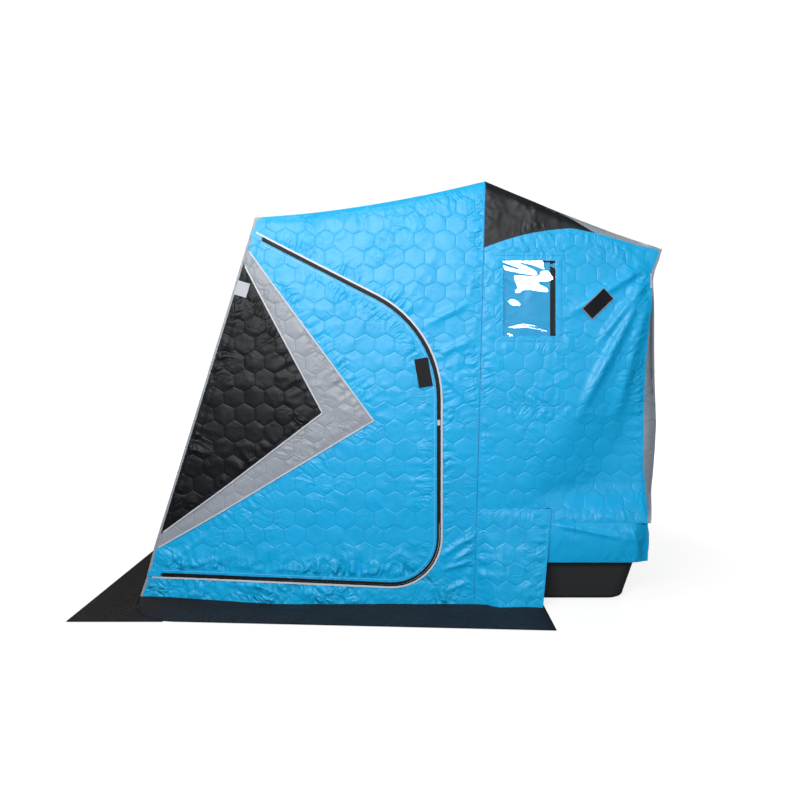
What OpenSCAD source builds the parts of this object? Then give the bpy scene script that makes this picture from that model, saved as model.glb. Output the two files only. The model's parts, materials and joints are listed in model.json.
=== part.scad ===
// Flip-over ice fishing hut: a quilted cloth tent carried on tube bows over a moulded sled.
// Millimetres, +Z up, ground at z = 0. +X points to the sled end (rear), -Y is the left side.

/* [Tent] */
// Width across the outer faces of the side walls
body_w = 1700; // [1400:10:2000]
// Height of the ridge
ridge_h = 1845; // [1700:5:2000]
// Drop of the front top edge below the ridge
front_drop = 162; // [100:2:260]
// Drop of the rear top edge below the ridge
rear_drop = 300; // [200:5:400]
// Front foot, ahead of the foot of the side seam
front_reach = 1448; // [1300:2:1600]
// Front top edge, ahead of the foot of the side seam
front_top_reach = 954; // [820:2:1050]
// Ridge, behind the foot of the side seam
ridge_set = 48; // [0:2:120]
// Rear top edge, behind the foot of the side seam
rear_reach = 814; // [760:2:900]
// Foot of the rear wall, behind the foot of the side seam
rear_base_reach = 766; // [720:2:840]
// Sag of the front half of the roof
roof_front_sag = 22; // [0:1:30]
// Sag of the rear half of the roof
roof_rear_sag = 6; // [0:1:20]
// Thickness of the quilted cloth
quilt_t = 10; // [6:1:14]

/* [Doors] */
// Height of the zip at the front end of the sill
door_sill_front_z = 135; // [110:1:180]
// Height of the zip at the rear end of the sill
door_sill_rear_z = 82; // [70:1:110]
// Distance of the door's upright edge ahead of the side seam's foot
door_rear_set = 152; // [120:1:220]
// Drop of the zip's front top end below the front top edge
door_top_drop = 72; // [50:1:160]
// Fall of the top zip line towards the rear, in degrees
door_top_fall = 27; // [20:0.5:32]
// Radius of the big upper corner
door_upper_r = 500; // [250:10:560]
// Radius of the lower corner
door_lower_r = 205; // [80:5:260]
// Gap all round the door leaf, along the zip
door_gap = 6; // [5:0.5:10]
// Radius of the piping cord that the door is sewn along
piping_r = 5; // [3:0.5:6]

/* [Door pattern] */
// Drop of the chevron's top end below the front top edge
chevron_top_drop = 144; // [120:1:190]
// Height of the chevron's low end, at the front edge
chevron_low_z = 250; // [200:1:300]
// Chevron's outer tip, ahead of the side seam's foot
chevron_tip_set = 437; // [400:1:560]
// Height of the chevron's outer tip
chevron_tip_z = 803; // [760:1:860]
// Drop of the front panel's top end below the front top edge
front_panel_top_drop = 205; // [195:1:300]
// Height of the front panel's low end, at the front edge
front_panel_low_z = 315; // [305:1:400]
// Front panel's tip, ahead of the side seam's foot
front_panel_tip_set = 658; // [600:1:760]
// Height of the front panel's tip
front_panel_tip_z = 836; // [800:1:880]

/* [Windows] */
// Front edge of the window, behind the side seam's foot
window_x = 126; // [100:1:160]
// Width of the window
window_w = 227; // [160:1:300]
// Drop of the window's top edge below the ridge
window_drop = 349; // [320:1:420]
// Height of the window
window_h = 327; // [200:1:330]
// Thickness of the clear sheet
pane_t = 2; // [1:0.5:4]
// Thickness of the cloth cover behind the clear sheet
cover_t = 4; // [2:0.5:6]
// Overlap of the cover round the window
cover_lap = 25; // [10:1:40]

/* [Side trim] */
// Drop of the roof corner panel's foot below the ridge, at the seam
corner_drop = 303; // [240:1:320]
// Reach of the roof corner panel behind the side seam's foot
corner_reach = 600; // [440:5:640]
// Rise of the roof corner panel's bowed lower edge
corner_bow = 40; // [10:1:50]
// Width of the flap beside the sled, at its top
flap_top_w = 335; // [300:1:380]
// Width of the flap beside the sled, at its foot
flap_foot_w = 290; // [250:1:296]
// Height of the flap's top edge
flap_h = 420; // [370:5:480]

/* [Skirts] */
// Width of the cloth skirts that lie on the ice
skirt_w = 230; // [150:5:300]
// Thickness of the skirt cloth
skirt_t = 2; // [1.5:0.5:4]
// Extra width of the side skirts at their rear end
skirt_flare = 106; // [0:2:120]
// Rear end of the side skirts, behind the side seam's foot
skirt_end = 298; // [296:2:360]

/* [Sled] */
// Height of the sled's rim
sled_h = 332; // [300:2:360]
// Sled wall thickness
sled_wall = 6; // [4:0.5:10]
// Front edge of the sled's rim, ahead of the side seam's foot
sled_front_set = 40; // [20:2:60]
// Draw-in of the sled's sides from rim to bottom
sled_draft = 88; // [50:2:110]
// Width of the rim's inward flange
sled_flange = 46; // [42:1:60]
// Radius of the sled's upright corners
sled_corner_r = 60; // [40:5:100]
// Radius along the sled's bottom edge
sled_bilge_r = 30; // [20:2:40]
// Height of the plain band round the sled, below the walls
band_h = 170; // [110:2:190]
// Thickness of the plain band
band_t = 6; // [4:0.5:8]

/* [Frame] */
// Outer diameter of the bow tubes
bow_d = 25; // [20:1:28]
// Bend radius of the bows, at the tube's middle
bow_bend_r = 70; // [50:5:100]
// Diameter of the roof rails
rail_d = 20; // [16:1:24]
// Drop of the roof rails below the bow corners
rail_drop = 110; // [90:5:160]
// Plate thickness of the pivot brackets
bracket_t = 6; // [4:0.5:8]
// Height of the pivot brackets over the rim
bracket_h = 120; // [100:2:160]
// Radius of the pivot pins
pin_r = 5; // [3:0.5:7]

/* [Hidden] */

$fn = 48;
seat = 0.3;                 // clearance of a piece that seats on another
bow_gap = 3;                // clearance between a bow and the cloth over it
fitting_t = 2;              // wall of a bow's corner fitting
fitting_lap = 4;            // reach of a tube into a corner fitting
curve_steps = 12;           // straight pieces in a sagging edge or a rounded corner
front_h = ridge_h - front_drop;
rear_h = ridge_h - rear_drop;
door_top_z = front_h - door_top_drop;
window_z = ridge_h - window_drop - window_h;
half_w = body_w / 2;
inner_y = half_w - quilt_t;
bow_r = bow_d / 2;
bow_y = inner_y - bow_gap - bow_r;

// The foot of the side seam stands here, so that the whole part is centred on the origin.
seam_x = (front_reach + skirt_w - rear_reach) / 2;

// Colours
blue = [0.10, 0.60, 0.85];
blue_plain = [0.13, 0.62, 0.85];
grey = [0.50, 0.52, 0.55];
black = [0.12, 0.13, 0.14];
clear = [0.75, 0.88, 0.95, 0.4];
metal = [0.55, 0.56, 0.58];

// Outlines are worked out in the upright plane, as [x from the seam's foot, z].
function unit(v) = v / norm(v);
function left_of(v) = [-v[1], v[0]];
function cross2(a, b) = a[0] * b[1] - a[1] * b[0];
function line_meet(p, u, q, v) = p + u * (cross2(q - p, v) / cross2(u, v));
function reversed(list) = [for (i = [len(list) - 1:-1:0]) list[i]];

// A sagging edge from p to q: a parabola that dips to the right of the way from p to q.
function sag_edge(p, q, sag) = [for (i = [0:curve_steps])
    let (s = i / curve_steps) p + (q - p) * s - left_of(unit(q - p)) * (4 * sag * s * (1 - s))];

// The arc that rounds corner v between p and q.
function round_corner(p, v, q, r) =
    let (
        u = unit(p - v),
        w = unit(q - v),
        half = acos(u * w) / 2,
        centre = v + unit(u + w) * (r / sin(half)),
        start = v + u * (r / tan(half)) - centre,
        finish = v + w * (r / tan(half)) - centre,
        from = atan2(start[1], start[0]),
        turn = atan2(cross2(start, finish), start * finish)
    )
    [for (i = [0:curve_steps]) centre + r * [cos(from + turn * i / curve_steps),
                                             sin(from + turn * i / curve_steps)]];

// The tent's outer profile, from the front foot over the ridge to the rear foot.
band_top_z = sled_h + 25;
profile = [
    [-front_reach, skirt_t], [-front_top_reach, front_h], [ridge_set, ridge_h],
    [rear_reach, rear_h], [rear_base_reach, band_top_z]
];
sags = [0, roof_front_sag, roof_rear_sag, 0];

function run(i) = unit(profile[i + 1] - profile[i]);
// Start of stretch i of the profile, set in by d.
function set_in(i, d) = profile[i] - left_of(run(i)) * d;
// Corner i of the profile set in by d: its two ends are cut level.
function corner(i, d) =
    i == 0 ? line_meet(set_in(0, d), run(0), profile[0], [1, 0]) :
    i == 4 ? line_meet(set_in(3, d), run(3), profile[4], [1, 0]) :
    line_meet(set_in(i - 1, d), run(i - 1), set_in(i, d), run(i));
function stretch(i, d) = sag_edge(corner(i, d), corner(i + 1, d), sags[i]);

// One upright plate of the given thickness at the left wall, its outer face at y = -outer.
module upright_plate(outer, t) {
    translate([seam_x, t - outer, 0]) rotate([90, 0, 0]) linear_extrude(t) children();
}

// Pieces on the right side mirror those on the left.
module mirrored() {
    mirror([0, 1, 0]) children();
}

// A strip of the cloth that wraps front, roof and rear, across the whole width.
module wrap_strip(i) {
    color(grey) upright_plate(half_w, body_w)
        polygon(concat(stretch(i, 0), reversed(stretch(i, quilt_t))));
}

// The side wall inside the wrapping cloth, in one piece.
module side_sheet() {
    polygon(concat(
        [for (i = [0:3], k = [0:curve_steps - 1]) stretch(i, quilt_t)[k]],
        [corner(4, quilt_t), [corner(4, quilt_t)[0], skirt_t]]
    ));
}

// The seam behind the doors runs straight from its foot to the ridge.
seam_foot = [0, skirt_t];
seam_top = corner(2, 0);
function seam_at(z) = seam_foot + (seam_top - seam_foot) * ((z - skirt_t) / (seam_top[1] - skirt_t));
zone_reach = 2 * (front_reach + rear_reach);
zone_lap = 20;              // reach of a zone past the seam that trims it

module ahead_of_seam() {
    beyond = seam_top + (seam_top - seam_foot);
    polygon([seam_foot, beyond, [-zone_reach, beyond[1]], [-zone_reach, skirt_t]]);
}

module level_zone(low, high) {
    translate([-zone_reach / 2, low]) square([zone_reach, high - low]);
}

// Door outline: a line parallel to the front edge, a level sill, an upright and a falling top line.
hinge_in = quilt_t + piping_r + seat;
hinge_dir = run(0);
hinge_base = set_in(0, hinge_in);
sill_front = line_meet([0, door_sill_front_z], [1, 0], hinge_base, hinge_dir);
sill_rear = [-door_rear_set, door_sill_rear_z];
sill_dir = unit(sill_rear - sill_front);
top_front = line_meet([0, door_top_z], [1, 0], hinge_base, hinge_dir);
top_dir = [cos(door_top_fall), -sin(door_top_fall)];

// The door's free edge, grown by d, from the hinge round the sill, the upright and the top.
function door_edge(d) =
    let (
        sill_p = sill_front - left_of(sill_dir) * d,
        top_p = top_front + left_of(top_dir) * d,
        upright_p = sill_rear + [d, 0],
        low = line_meet(sill_p, sill_dir, upright_p, [0, 1]),
        high = line_meet(top_p, top_dir, upright_p, [0, 1])
    )
    concat(
        [line_meet(sill_p, sill_dir, hinge_base, hinge_dir)],
        round_corner(sill_p, low, high, door_lower_r + d),
        round_corner(low, high, top_p, door_upper_r + d),
        [line_meet(top_p, top_dir, hinge_base, hinge_dir)]
    );

split_z = door_top_z - (sill_rear[0] - top_front[0]) * tan(door_top_fall);

// The hole in the side wall: it reaches the front wall, behind the piping.
module doorway() {
    edge = door_edge(door_gap / 2);
    last = len(edge) - 1;
    back = left_of(hinge_dir) * hinge_in;
    polygon(concat([edge[0] + back], edge, [edge[last] + back]));
}

module door_sheet() {
    edge = door_edge(-door_gap / 2);
    last = len(edge) - 1;
    in = -left_of(hinge_dir) * (piping_r + seat);
    polygon(concat(
        [line_meet(edge[0], sill_dir, hinge_base + in, hinge_dir)],
        [for (i = [1:last - 1]) edge[i]],
        [line_meet(edge[last], top_dir, hinge_base + in, hinge_dir)]
    ));
}

// A pointed zone of the door, from two heights on the front edge to a tip.
module pointed_zone(top_z, low_z, tip) {
    top = line_meet([0, top_z], [1, 0], hinge_base, hinge_dir);
    low = line_meet([0, low_z], [1, 0], hinge_base, hinge_dir);
    polygon([low, tip, top]);
}

module chevron_zone() {
    pointed_zone(front_h - chevron_top_drop, chevron_low_z, [-chevron_tip_set, chevron_tip_z]);
}

module front_panel_zone() {
    tip = [-front_panel_tip_set, front_panel_tip_z];
    pointed_zone(front_h - front_panel_top_drop, front_panel_low_z, tip);
}

// The door leaf is sewn from three panels in one plane.
module door() {
    color(blue) upright_plate(half_w, quilt_t) difference() {
        door_sheet();
        chevron_zone();
    }
}

module door_chevron() {
    color(grey) upright_plate(half_w, quilt_t) difference() {
        intersection() {
            door_sheet();
            chevron_zone();
        }
        front_panel_zone();
    }
}

module door_front() {
    color(black) upright_plate(half_w, quilt_t) intersection() {
        door_sheet();
        front_panel_zone();
    }
}

// The cord sewn into the front edge: the door folds about it.
module door_piping() {
    edge = door_edge(door_gap / 2);
    foot = edge[0] + hinge_dir * 2 * piping_r;
    length = norm(edge[len(edge) - 1] - edge[0]) - 4 * piping_r;
    color(grey) translate([seam_x + foot[0], -half_w, foot[1]])
        rotate([0, atan2(hinge_dir[0], hinge_dir[1]), 0]) cylinder(r = piping_r, h = length);
}

module wall_over_door() {
    color(blue) upright_plate(half_w, quilt_t) difference() {
        intersection() {
            side_sheet();
            ahead_of_seam();
            level_zone(split_z, 2 * ridge_h);
        }
        doorway();
    }
}

post_front = sill_rear[0] - door_lower_r;
module wall_post() {
    color(blue) upright_plate(half_w, quilt_t) difference() {
        intersection() {
            side_sheet();
            ahead_of_seam();
            translate([post_front, 0]) square([zone_reach, split_z]);
        }
        doorway();
    }
}

module wall_sill() {
    color(blue) upright_plate(half_w, quilt_t) difference() {
        intersection() {
            side_sheet();
            translate([-zone_reach, 0]) square([zone_reach + post_front, split_z]);
        }
        doorway();
    }
}

module window_hole(grow) {
    translate([window_x - grow, window_z - grow]) square([window_w + 2 * grow, window_h + 2 * grow]);
}

// The dark panel under the rear half of the roof, with a bowed lower edge.
module corner_zone() {
    foot = seam_at(ridge_h - corner_drop) - [zone_lap, 0];
    roof_dir = run(2);
    tip = line_meet([corner_reach, 0], [0, 1], corner(2, 0), roof_dir);
    polygon(concat(sag_edge(foot, tip, -corner_bow), [tip + [0, ridge_h], [foot[0], tip[1] + ridge_h]]));
}

module flap_zone() {
    polygon([[-zone_lap, skirt_t], [flap_foot_w, skirt_t], [flap_top_w, flap_h], [-zone_lap, flap_h]]);
}

module behind_seam() {
    difference() {
        side_sheet();
        ahead_of_seam();
    }
}

module roof_corner() {
    color(black) upright_plate(half_w, quilt_t) intersection() {
        behind_seam();
        corner_zone();
    }
}

module wall_rear() {
    color(blue) upright_plate(half_w, quilt_t) difference() {
        intersection() {
            behind_seam();
            level_zone(band_top_z, 2 * ridge_h);
        }
        corner_zone();
        flap_zone();
        window_hole(0);
    }
}

module flap() {
    color(blue) upright_plate(half_w, quilt_t) difference() {
        flap_zone();
        ahead_of_seam();
    }
}

module window_pane() {
    color(clear) upright_plate(half_w - quilt_t / 2, pane_t) window_hole(-seat);
}

module window_cover() {
    color(blue_plain) upright_plate(inner_y, cover_t) window_hole(cover_lap);
}

// The plain band hangs from the foot of the walls, round the outside of the sled's rim.
module band() {
    flap_edge = (flap_top_w - flap_foot_w) / (flap_h - skirt_t);
    low = band_top_z - band_h;
    front_low = flap_foot_w + flap_edge * (low - skirt_t) + seat;
    front_high = flap_foot_w + flap_edge * (band_top_z - skirt_t) + seat;
    rear = rear_base_reach - band_t;
    color(blue_plain) upright_plate(half_w, band_t)
        polygon([[front_low, low], [rear, low], [rear, band_top_z], [front_high, band_top_z]]);
}

module rear_band() {
    color(blue_plain) translate([seam_x + rear_base_reach - band_t, -half_w, band_top_z - band_h])
        cube([band_t, body_w, band_h]);
}

// Skirts lie flat on the ice, their inner margins under the walls.
module side_skirt_plan(grow) {
    round_x = skirt_w - front_reach;
    out_y = half_w + skirt_w;
    intersection() {
        translate([round_x, -half_w]) circle(r = skirt_w + grow);
        translate([round_x - 2 * skirt_w, -half_w - 2 * skirt_w]) square(2 * skirt_w);
    }
    polygon([[round_x, -out_y - grow], [skirt_end, -out_y - skirt_flare - grow],
             [skirt_end, quilt_t - half_w], [round_x, quilt_t - half_w]]);
    translate([-front_reach - grow, -half_w]) square([skirt_w + grow, quilt_t]);
}

module skirt() {
    color(black) translate([seam_x, 0, 0]) linear_extrude(skirt_t) side_skirt_plan(0);
}

module front_skirt() {
    out_y = half_w + skirt_w;
    margin = corner(0, quilt_t)[0];
    length = 1.7 * skirt_w;     // it stops short of the point where the two skirts run together
    color(black) translate([seam_x, 0, 0]) linear_extrude(skirt_t) difference() {
        translate([-front_reach - skirt_w, -out_y]) square([length, 2 * out_y]);
        side_skirt_plan(seat);
        mirrored() side_skirt_plan(seat);
        translate([margin, -inner_y]) square([zone_reach, 2 * inner_y]);
    }
}

// The moulded sled: a drafted tub with rounded corners and an inward flange round its rim.
sled_x0 = -sled_front_set;
sled_x1 = rear_base_reach - band_t - seat;
sled_y = half_w - quilt_t - seat;
function rounded_loop(inset, r, z) = [for (
    c = [[sled_x1 - inset - r, sled_y - inset - r, 0], [sled_x0 + inset + r, sled_y - inset - r, 90],
         [sled_x0 + inset + r, inset + r - sled_y, 180], [sled_x1 - inset - r, inset + r - sled_y, 270]],
    i = [0:curve_steps / 2]) let (a = c[2] + 90 * i / (curve_steps / 2))
    [c[0] + r * cos(a), c[1] + r * sin(a), z]];

sled_flange_t = 8;
function sled_inset(z) = sled_draft * (1 - z / sled_h);
function sled_level(z, extra) = rounded_loop(sled_inset(z) + extra, sled_corner_r, z);
// The bilge is an arc in section, from the flat bottom up to the drafted side.
function bilge_loop(a, r, floor_z, extra) = rounded_loop(
    sled_inset(floor_z + r) + extra + r * (1 - sin(a)), sled_corner_r, floor_z + r * (1 - cos(a)));
bilge_angles = [0, 22.5, 45, 67.5, 90];
sled_loops = concat(
    [for (a = bilge_angles) bilge_loop(a, sled_bilge_r, 0, 0)],
    [rounded_loop(0, sled_corner_r, sled_h), rounded_loop(sled_flange, sled_corner_r, sled_h)],
    [rounded_loop(sled_flange, sled_corner_r, sled_h - sled_flange_t)],
    [sled_level(sled_h - sled_flange_t, sled_wall)],
    [for (a = reversed(bilge_angles)) bilge_loop(a, sled_bilge_r - sled_wall, sled_wall, sled_wall)]
);

// Closes a stack of loops of the same length into one solid.
module skin(loops) {
    n = len(loops[0]);
    last = len(loops) - 1;
    polyhedron(
        points = [for (loop = loops, p = loop) p],
        faces = concat(
            [[for (i = [0:n - 1]) i]],
            [for (k = [0:last - 1], i = [0:n - 1])
                let (j = (i + 1) % n) [k * n + i, (k + 1) * n + i, (k + 1) * n + j, k * n + j]],
            [[for (i = [n - 1:-1:0]) last * n + i]]
        ),
        convexity = 6
    );
}

module sled_tub() {
    color(black) translate([seam_x, 0, 0]) skin(sled_loops);
}

// A straight tube between two points of the upright plane at side y.
module tube(p, q, y, r) {
    d = q - p;
    translate([seam_x + p[0], y, p[1]]) rotate([0, atan2(d[0], d[1]), 0]) cylinder(r = r, h = norm(d));
}

// A bow: two legs in the side planes and a bar across the tent, joined by corner fittings.
module bow(foot, top) {
    dir = unit(top - foot);
    lean = atan2(dir[0], dir[1]);
    shoulder = top - dir * bow_bend_r;
    bar = bow_y - bow_bend_r;
    for (side = [-1, 1]) {
        tube(foot, shoulder + dir * fitting_lap, side * bow_y, bow_r);
        translate([seam_x + shoulder[0], side * bar, shoulder[1]])
            rotate([0, lean, 0]) rotate([90, 0, side * 90]) rotate_extrude(angle = 90)
            translate([bow_bend_r, 0]) circle(r = bow_r + fitting_t);
    }
    translate([seam_x + top[0], bar + fitting_lap, top[1]]) rotate([90, 0, 0])
        cylinder(r = bow_r, h = 2 * (bar + fitting_lap));
}

bow_in = quilt_t + bow_gap + bow_r;
front_bow_foot = line_meet(set_in(0, bow_in), run(0), [0, bow_r + seat], [1, 0]);
ridge_bow_foot = [ridge_set / 4, sled_h + bracket_h / 4];
rear_bow_foot = [ridge_bow_foot[0] + 3.4 * bow_d, ridge_bow_foot[1]];
pin_up = 1.6 * bow_r;       // a pivot pin's place above the leg's lower end

function pin_at(foot, top) = foot + unit(top - foot) * pin_up;
ridge_pin = pin_at(ridge_bow_foot, corner(2, bow_in));
rear_pin = pin_at(rear_bow_foot, corner(3, bow_in));

module pin_holes(pin) {
    translate([seam_x + pin[0], half_w, pin[1]]) rotate([90, 0, 0])
        cylinder(r = pin_r + seat, h = body_w);
}

module front_bow() {
    color(metal) bow(front_bow_foot, corner(1, bow_in));
}

module ridge_bow() {
    color(metal) difference() {
        bow(ridge_bow_foot, corner(2, bow_in));
        pin_holes(ridge_pin);
    }
}

module rear_bow() {
    color(metal) difference() {
        bow(rear_bow_foot, corner(3, bow_in));
        pin_holes(rear_pin);
    }
}

// The bar that holds the front bow's feet apart, on the ice.
module ground_bar() {
    length = 2 * (bow_y - bow_r - seat);
    foot = front_bow_foot + run(0) * bow_d;
    color(metal) translate([seam_x + foot[0], length / 2, foot[1]]) rotate([90, 0, 0])
        cylinder(r = bow_r, h = length);
}

// Rails hold the front bow ahead of the ridge bow, a hand below the roof.
module roof_rail() {
    front = corner(1, bow_in) - unit(corner(1, bow_in) - front_bow_foot) * rail_drop;
    rear = corner(2, bow_in) - unit(corner(2, bow_in) - ridge_bow_foot) * rail_drop;
    d = unit(rear - front);
    clear = bow_r + seat + rail_d / 4;
    color(metal) tube(front + d * clear, rear - d * clear, -bow_y, rail_d / 2);
}

// The pivot bracket stands on the rim, inside the bow legs, with a pin through each leg.
module pivot_bracket() {
    back = bow_y - bow_r - seat;
    low = sled_h;
    color(metal) {
        upright_plate(back, bracket_t) polygon(concat(
            [[ridge_pin[0] - 2 * bow_d, low]],
            [[rear_pin[0] + 2 * bow_d, low]],
            round_corner([rear_pin[0] + 2 * bow_d, low], [rear_pin[0] + bow_d, low + bracket_h],
                         [ridge_pin[0], low + bracket_h], bow_d),
            round_corner([rear_pin[0], low + bracket_h], [ridge_pin[0] - bow_d, low + bracket_h],
                         [ridge_pin[0] - 2 * bow_d, low], bow_d)
        ));
        for (pin = [ridge_pin, rear_pin])
            translate([seam_x + pin[0], -back, pin[1]]) rotate([90, 0, 0])
                cylinder(r = pin_r, h = bow_d);
    }
}

door();  // left_door
door_chevron();  // left_door_chevron
door_front();  // left_door_front
door_piping();  // left_door_piping
wall_over_door();  // left_wall_over_door
wall_post();  // left_wall_post
wall_sill();  // left_wall_sill
wall_rear();  // left_wall_rear
roof_corner();  // left_roof_corner
window_pane();  // left_window_pane
window_cover();  // left_window_cover
flap();  // left_flap
band();  // left_band
skirt();  // left_skirt
mirrored() door();  // right_door
mirrored() door_chevron();  // right_door_chevron
mirrored() door_front();  // right_door_front
mirrored() door_piping();  // right_door_piping
mirrored() wall_over_door();  // right_wall_over_door
mirrored() wall_post();  // right_wall_post
mirrored() wall_sill();  // right_wall_sill
mirrored() wall_rear();  // right_wall_rear
mirrored() roof_corner();  // right_roof_corner
mirrored() window_pane();  // right_window_pane
mirrored() window_cover();  // right_window_cover
mirrored() flap();  // right_flap
mirrored() band();  // right_band
mirrored() skirt();  // right_skirt
wrap_strip(0);  // front_wall
front_skirt();
wrap_strip(1);  // roof_front
wrap_strip(2);  // roof_rear
wrap_strip(3);  // rear_wall
rear_band();
sled_tub();
pivot_bracket();  // left_pivot_bracket
mirrored() pivot_bracket();  // right_pivot_bracket
front_bow();
ground_bar();
ridge_bow();
rear_bow();
roof_rail();  // left_roof_rail
mirrored() roof_rail();  // right_roof_rail
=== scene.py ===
# %% [markdown]
# # A flip-over ice hut in quilted cloth
# The CAD frame of the hut is a set of plain flat panels, tubes and a sled. This lesson dresses it:
# every panel becomes puffed, stitched cloth, and zips, piping, patches and a clear window are added.
# The hut's looks come from how its cloth is cut, sewn and stretched, so the lesson goes the way that a
# tent maker does: outlines and seams first, then cloth, then trims. All sizes are in metres.

import json
import math

import bmesh
import bpy
import numpy as np
from mathutils import Matrix, Vector
from mathutils.geometry import delaunay_2d_cdt
from mathutils.kdtree import KDTree


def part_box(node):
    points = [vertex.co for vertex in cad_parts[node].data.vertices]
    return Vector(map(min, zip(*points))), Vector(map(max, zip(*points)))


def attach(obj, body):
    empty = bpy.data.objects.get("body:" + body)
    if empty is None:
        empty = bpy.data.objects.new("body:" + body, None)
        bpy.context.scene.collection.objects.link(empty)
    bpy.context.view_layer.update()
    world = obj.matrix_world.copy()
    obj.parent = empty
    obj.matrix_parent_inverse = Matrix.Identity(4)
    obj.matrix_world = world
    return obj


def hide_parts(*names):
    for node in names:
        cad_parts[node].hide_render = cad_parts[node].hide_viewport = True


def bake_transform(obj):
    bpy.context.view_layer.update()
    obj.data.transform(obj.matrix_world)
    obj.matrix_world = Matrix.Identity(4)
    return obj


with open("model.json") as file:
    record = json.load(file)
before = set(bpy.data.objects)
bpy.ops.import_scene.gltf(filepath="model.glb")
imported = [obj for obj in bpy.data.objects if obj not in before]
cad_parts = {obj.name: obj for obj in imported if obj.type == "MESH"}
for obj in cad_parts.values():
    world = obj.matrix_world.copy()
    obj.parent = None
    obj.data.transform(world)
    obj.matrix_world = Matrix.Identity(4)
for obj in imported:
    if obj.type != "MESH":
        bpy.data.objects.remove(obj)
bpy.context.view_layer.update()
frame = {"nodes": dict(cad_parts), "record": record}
nodes = frame["nodes"]

# %% [markdown]
# ## Wires
# A node tree is easier to read as arithmetic than as a page of links. A `Wire` holds one output socket,
# and adding or multiplying wires makes Math nodes. `Wire.make` adds any other node. Shader trees and
# Geometry Nodes trees share the class, so that one formula for the stitching serves both the shape and
# the finish.


# %% The wire class
class Wire:
    """One output of a node. Arithmetic on wires adds Math nodes to the tree."""

    def __init__(self, tree, socket):
        self.tree, self.socket = tree, socket

    @classmethod
    def make(cls, tree, kind, inputs=(), out=0, **settings):
        """Adds a node, sets its options, links or sets its inputs and gives one output as a wire."""
        node = tree.nodes.new(kind)
        for key, value in settings.items():
            setattr(node, key, value)
        for key, value in dict(inputs).items():
            if isinstance(value, Wire):
                tree.links.new(value.socket, node.inputs[key])
            else:
                node.inputs[key].default_value = value
        return cls(tree, node.outputs[out])

    def math(self, operation, *values):
        return Wire.make(self.tree, "ShaderNodeMath", enumerate(values), operation=operation)

    def output(self, name):
        return Wire(self.tree, self.socket.node.outputs[name])

    def __add__(self, other):
        return self.math("ADD", self, other)

    def __mul__(self, other):
        return self.math("MULTIPLY", self, other)

    __radd__, __rmul__ = __add__, __mul__

    def __sub__(self, other):
        return self.math("SUBTRACT", self, other)

    def __rsub__(self, other):
        return self.math("SUBTRACT", other, self)

    def __truediv__(self, other):
        return self.math("DIVIDE", self, other)

    def __rtruediv__(self, other):
        return self.math("DIVIDE", other, self)

    def __pow__(self, other):
        return self.math("POWER", self, other)

    def __rpow__(self, other):
        return self.math("POWER", other, self)

    def __lt__(self, other):
        return self.math("LESS_THAN", self, other)

    def __abs__(self):
        return self.math("ABSOLUTE", self)

    def smooth(self, low, high):
        """0 below low, 1 above high, with an even curve between."""
        return Wire.make(
            self.tree, "ShaderNodeMapRange", {0: self, 1: low, 2: high}, interpolation_type="SMOOTHSTEP"
        )


# %% [markdown]
# ## The honeycomb
# The real cloth is stitched through its padding in hexagons that stand on a point. A picture could
# carry that pattern, but a formula is sharp at any distance, and can push the mesh as well as tint it.
# To find the nearest stitch line, the plane is folded onto two offset rectangular grids of cell
# centres, the nearer centre wins, and the hexagon's shape gives the rest. Sewing isn't exact, so noise
# draws the lines a little out of place.

# %% Distance to the nearest stitch line
CELL = 0.087  # a hexagon's width, from one upright side to the other
SIDE = CELL / math.sqrt(3)  # a hexagon's side
DRAWN, DRAWN_SCALE = 0.035, 4.5  # stitches are drawn out of place by up to half of the first


def noise(tree, dimensions="3D", out=0, **inputs):
    """A noise texture with inputs named as on the node."""
    return Wire.make(tree, "ShaderNodeTexNoise", inputs, out=out, noise_dimensions=dimensions)


def hex_gap(flat, cell):
    """How far a point of the flat cloth is from the nearest side of its hexagon."""
    pull = noise(flat.tree, out="Color", Vector=flat, Scale=DRAWN_SCALE, Detail=1.0)
    axes, pull = (Wire.make(flat.tree, "ShaderNodeSeparateXYZ", {0: wire}) for wire in (flat, pull))
    u = axes + (pull - 0.5) * DRAWN
    v = axes.output("Y") + (pull.output("Y") - 0.5) * DRAWN

    def folded(x, period):
        return x.math("FLOORED_MODULO", x + period * 0.5, period) - period * 0.5

    tall = cell * math.sqrt(3)
    x1, y1 = folded(u, cell), folded(v, tall)
    x2, y2 = folded(u + cell * 0.5, cell), folded(v + tall * 0.5, tall)
    first = (x1 * x1 + y1 * y1) < (x2 * x2 + y2 * y2)
    x, y = abs(x2 + (x1 - x2) * first), abs(y2 + (y1 - y2) * first)
    return cell * 0.5 - x.math("MAXIMUM", x, x * 0.5 + y * math.sqrt(0.75))


print("hexagons", CELL, "wide with sides of", round(SIDE, 4))

# %% [markdown]
# ## Cloth as a Geometry Nodes tree
# The wall is two layers of cloth with padding between. It puffs between the stitches, puckers run in
# from every sewn border, and it crumples where it isn't taut. Sculpted by hand, that would be lost with
# every change of an outline, so a tree does it: it pushes each point of a panel along its stored
# direction `out`. The panel stores what the tree reads: `flat` (its place on the uncut cloth), `hem`
# (distance to the border), `along` (place on the border), `calm` (0 where `along` jumps, so that no
# pucker tears there) and `slack` (how loosely it hangs).


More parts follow.
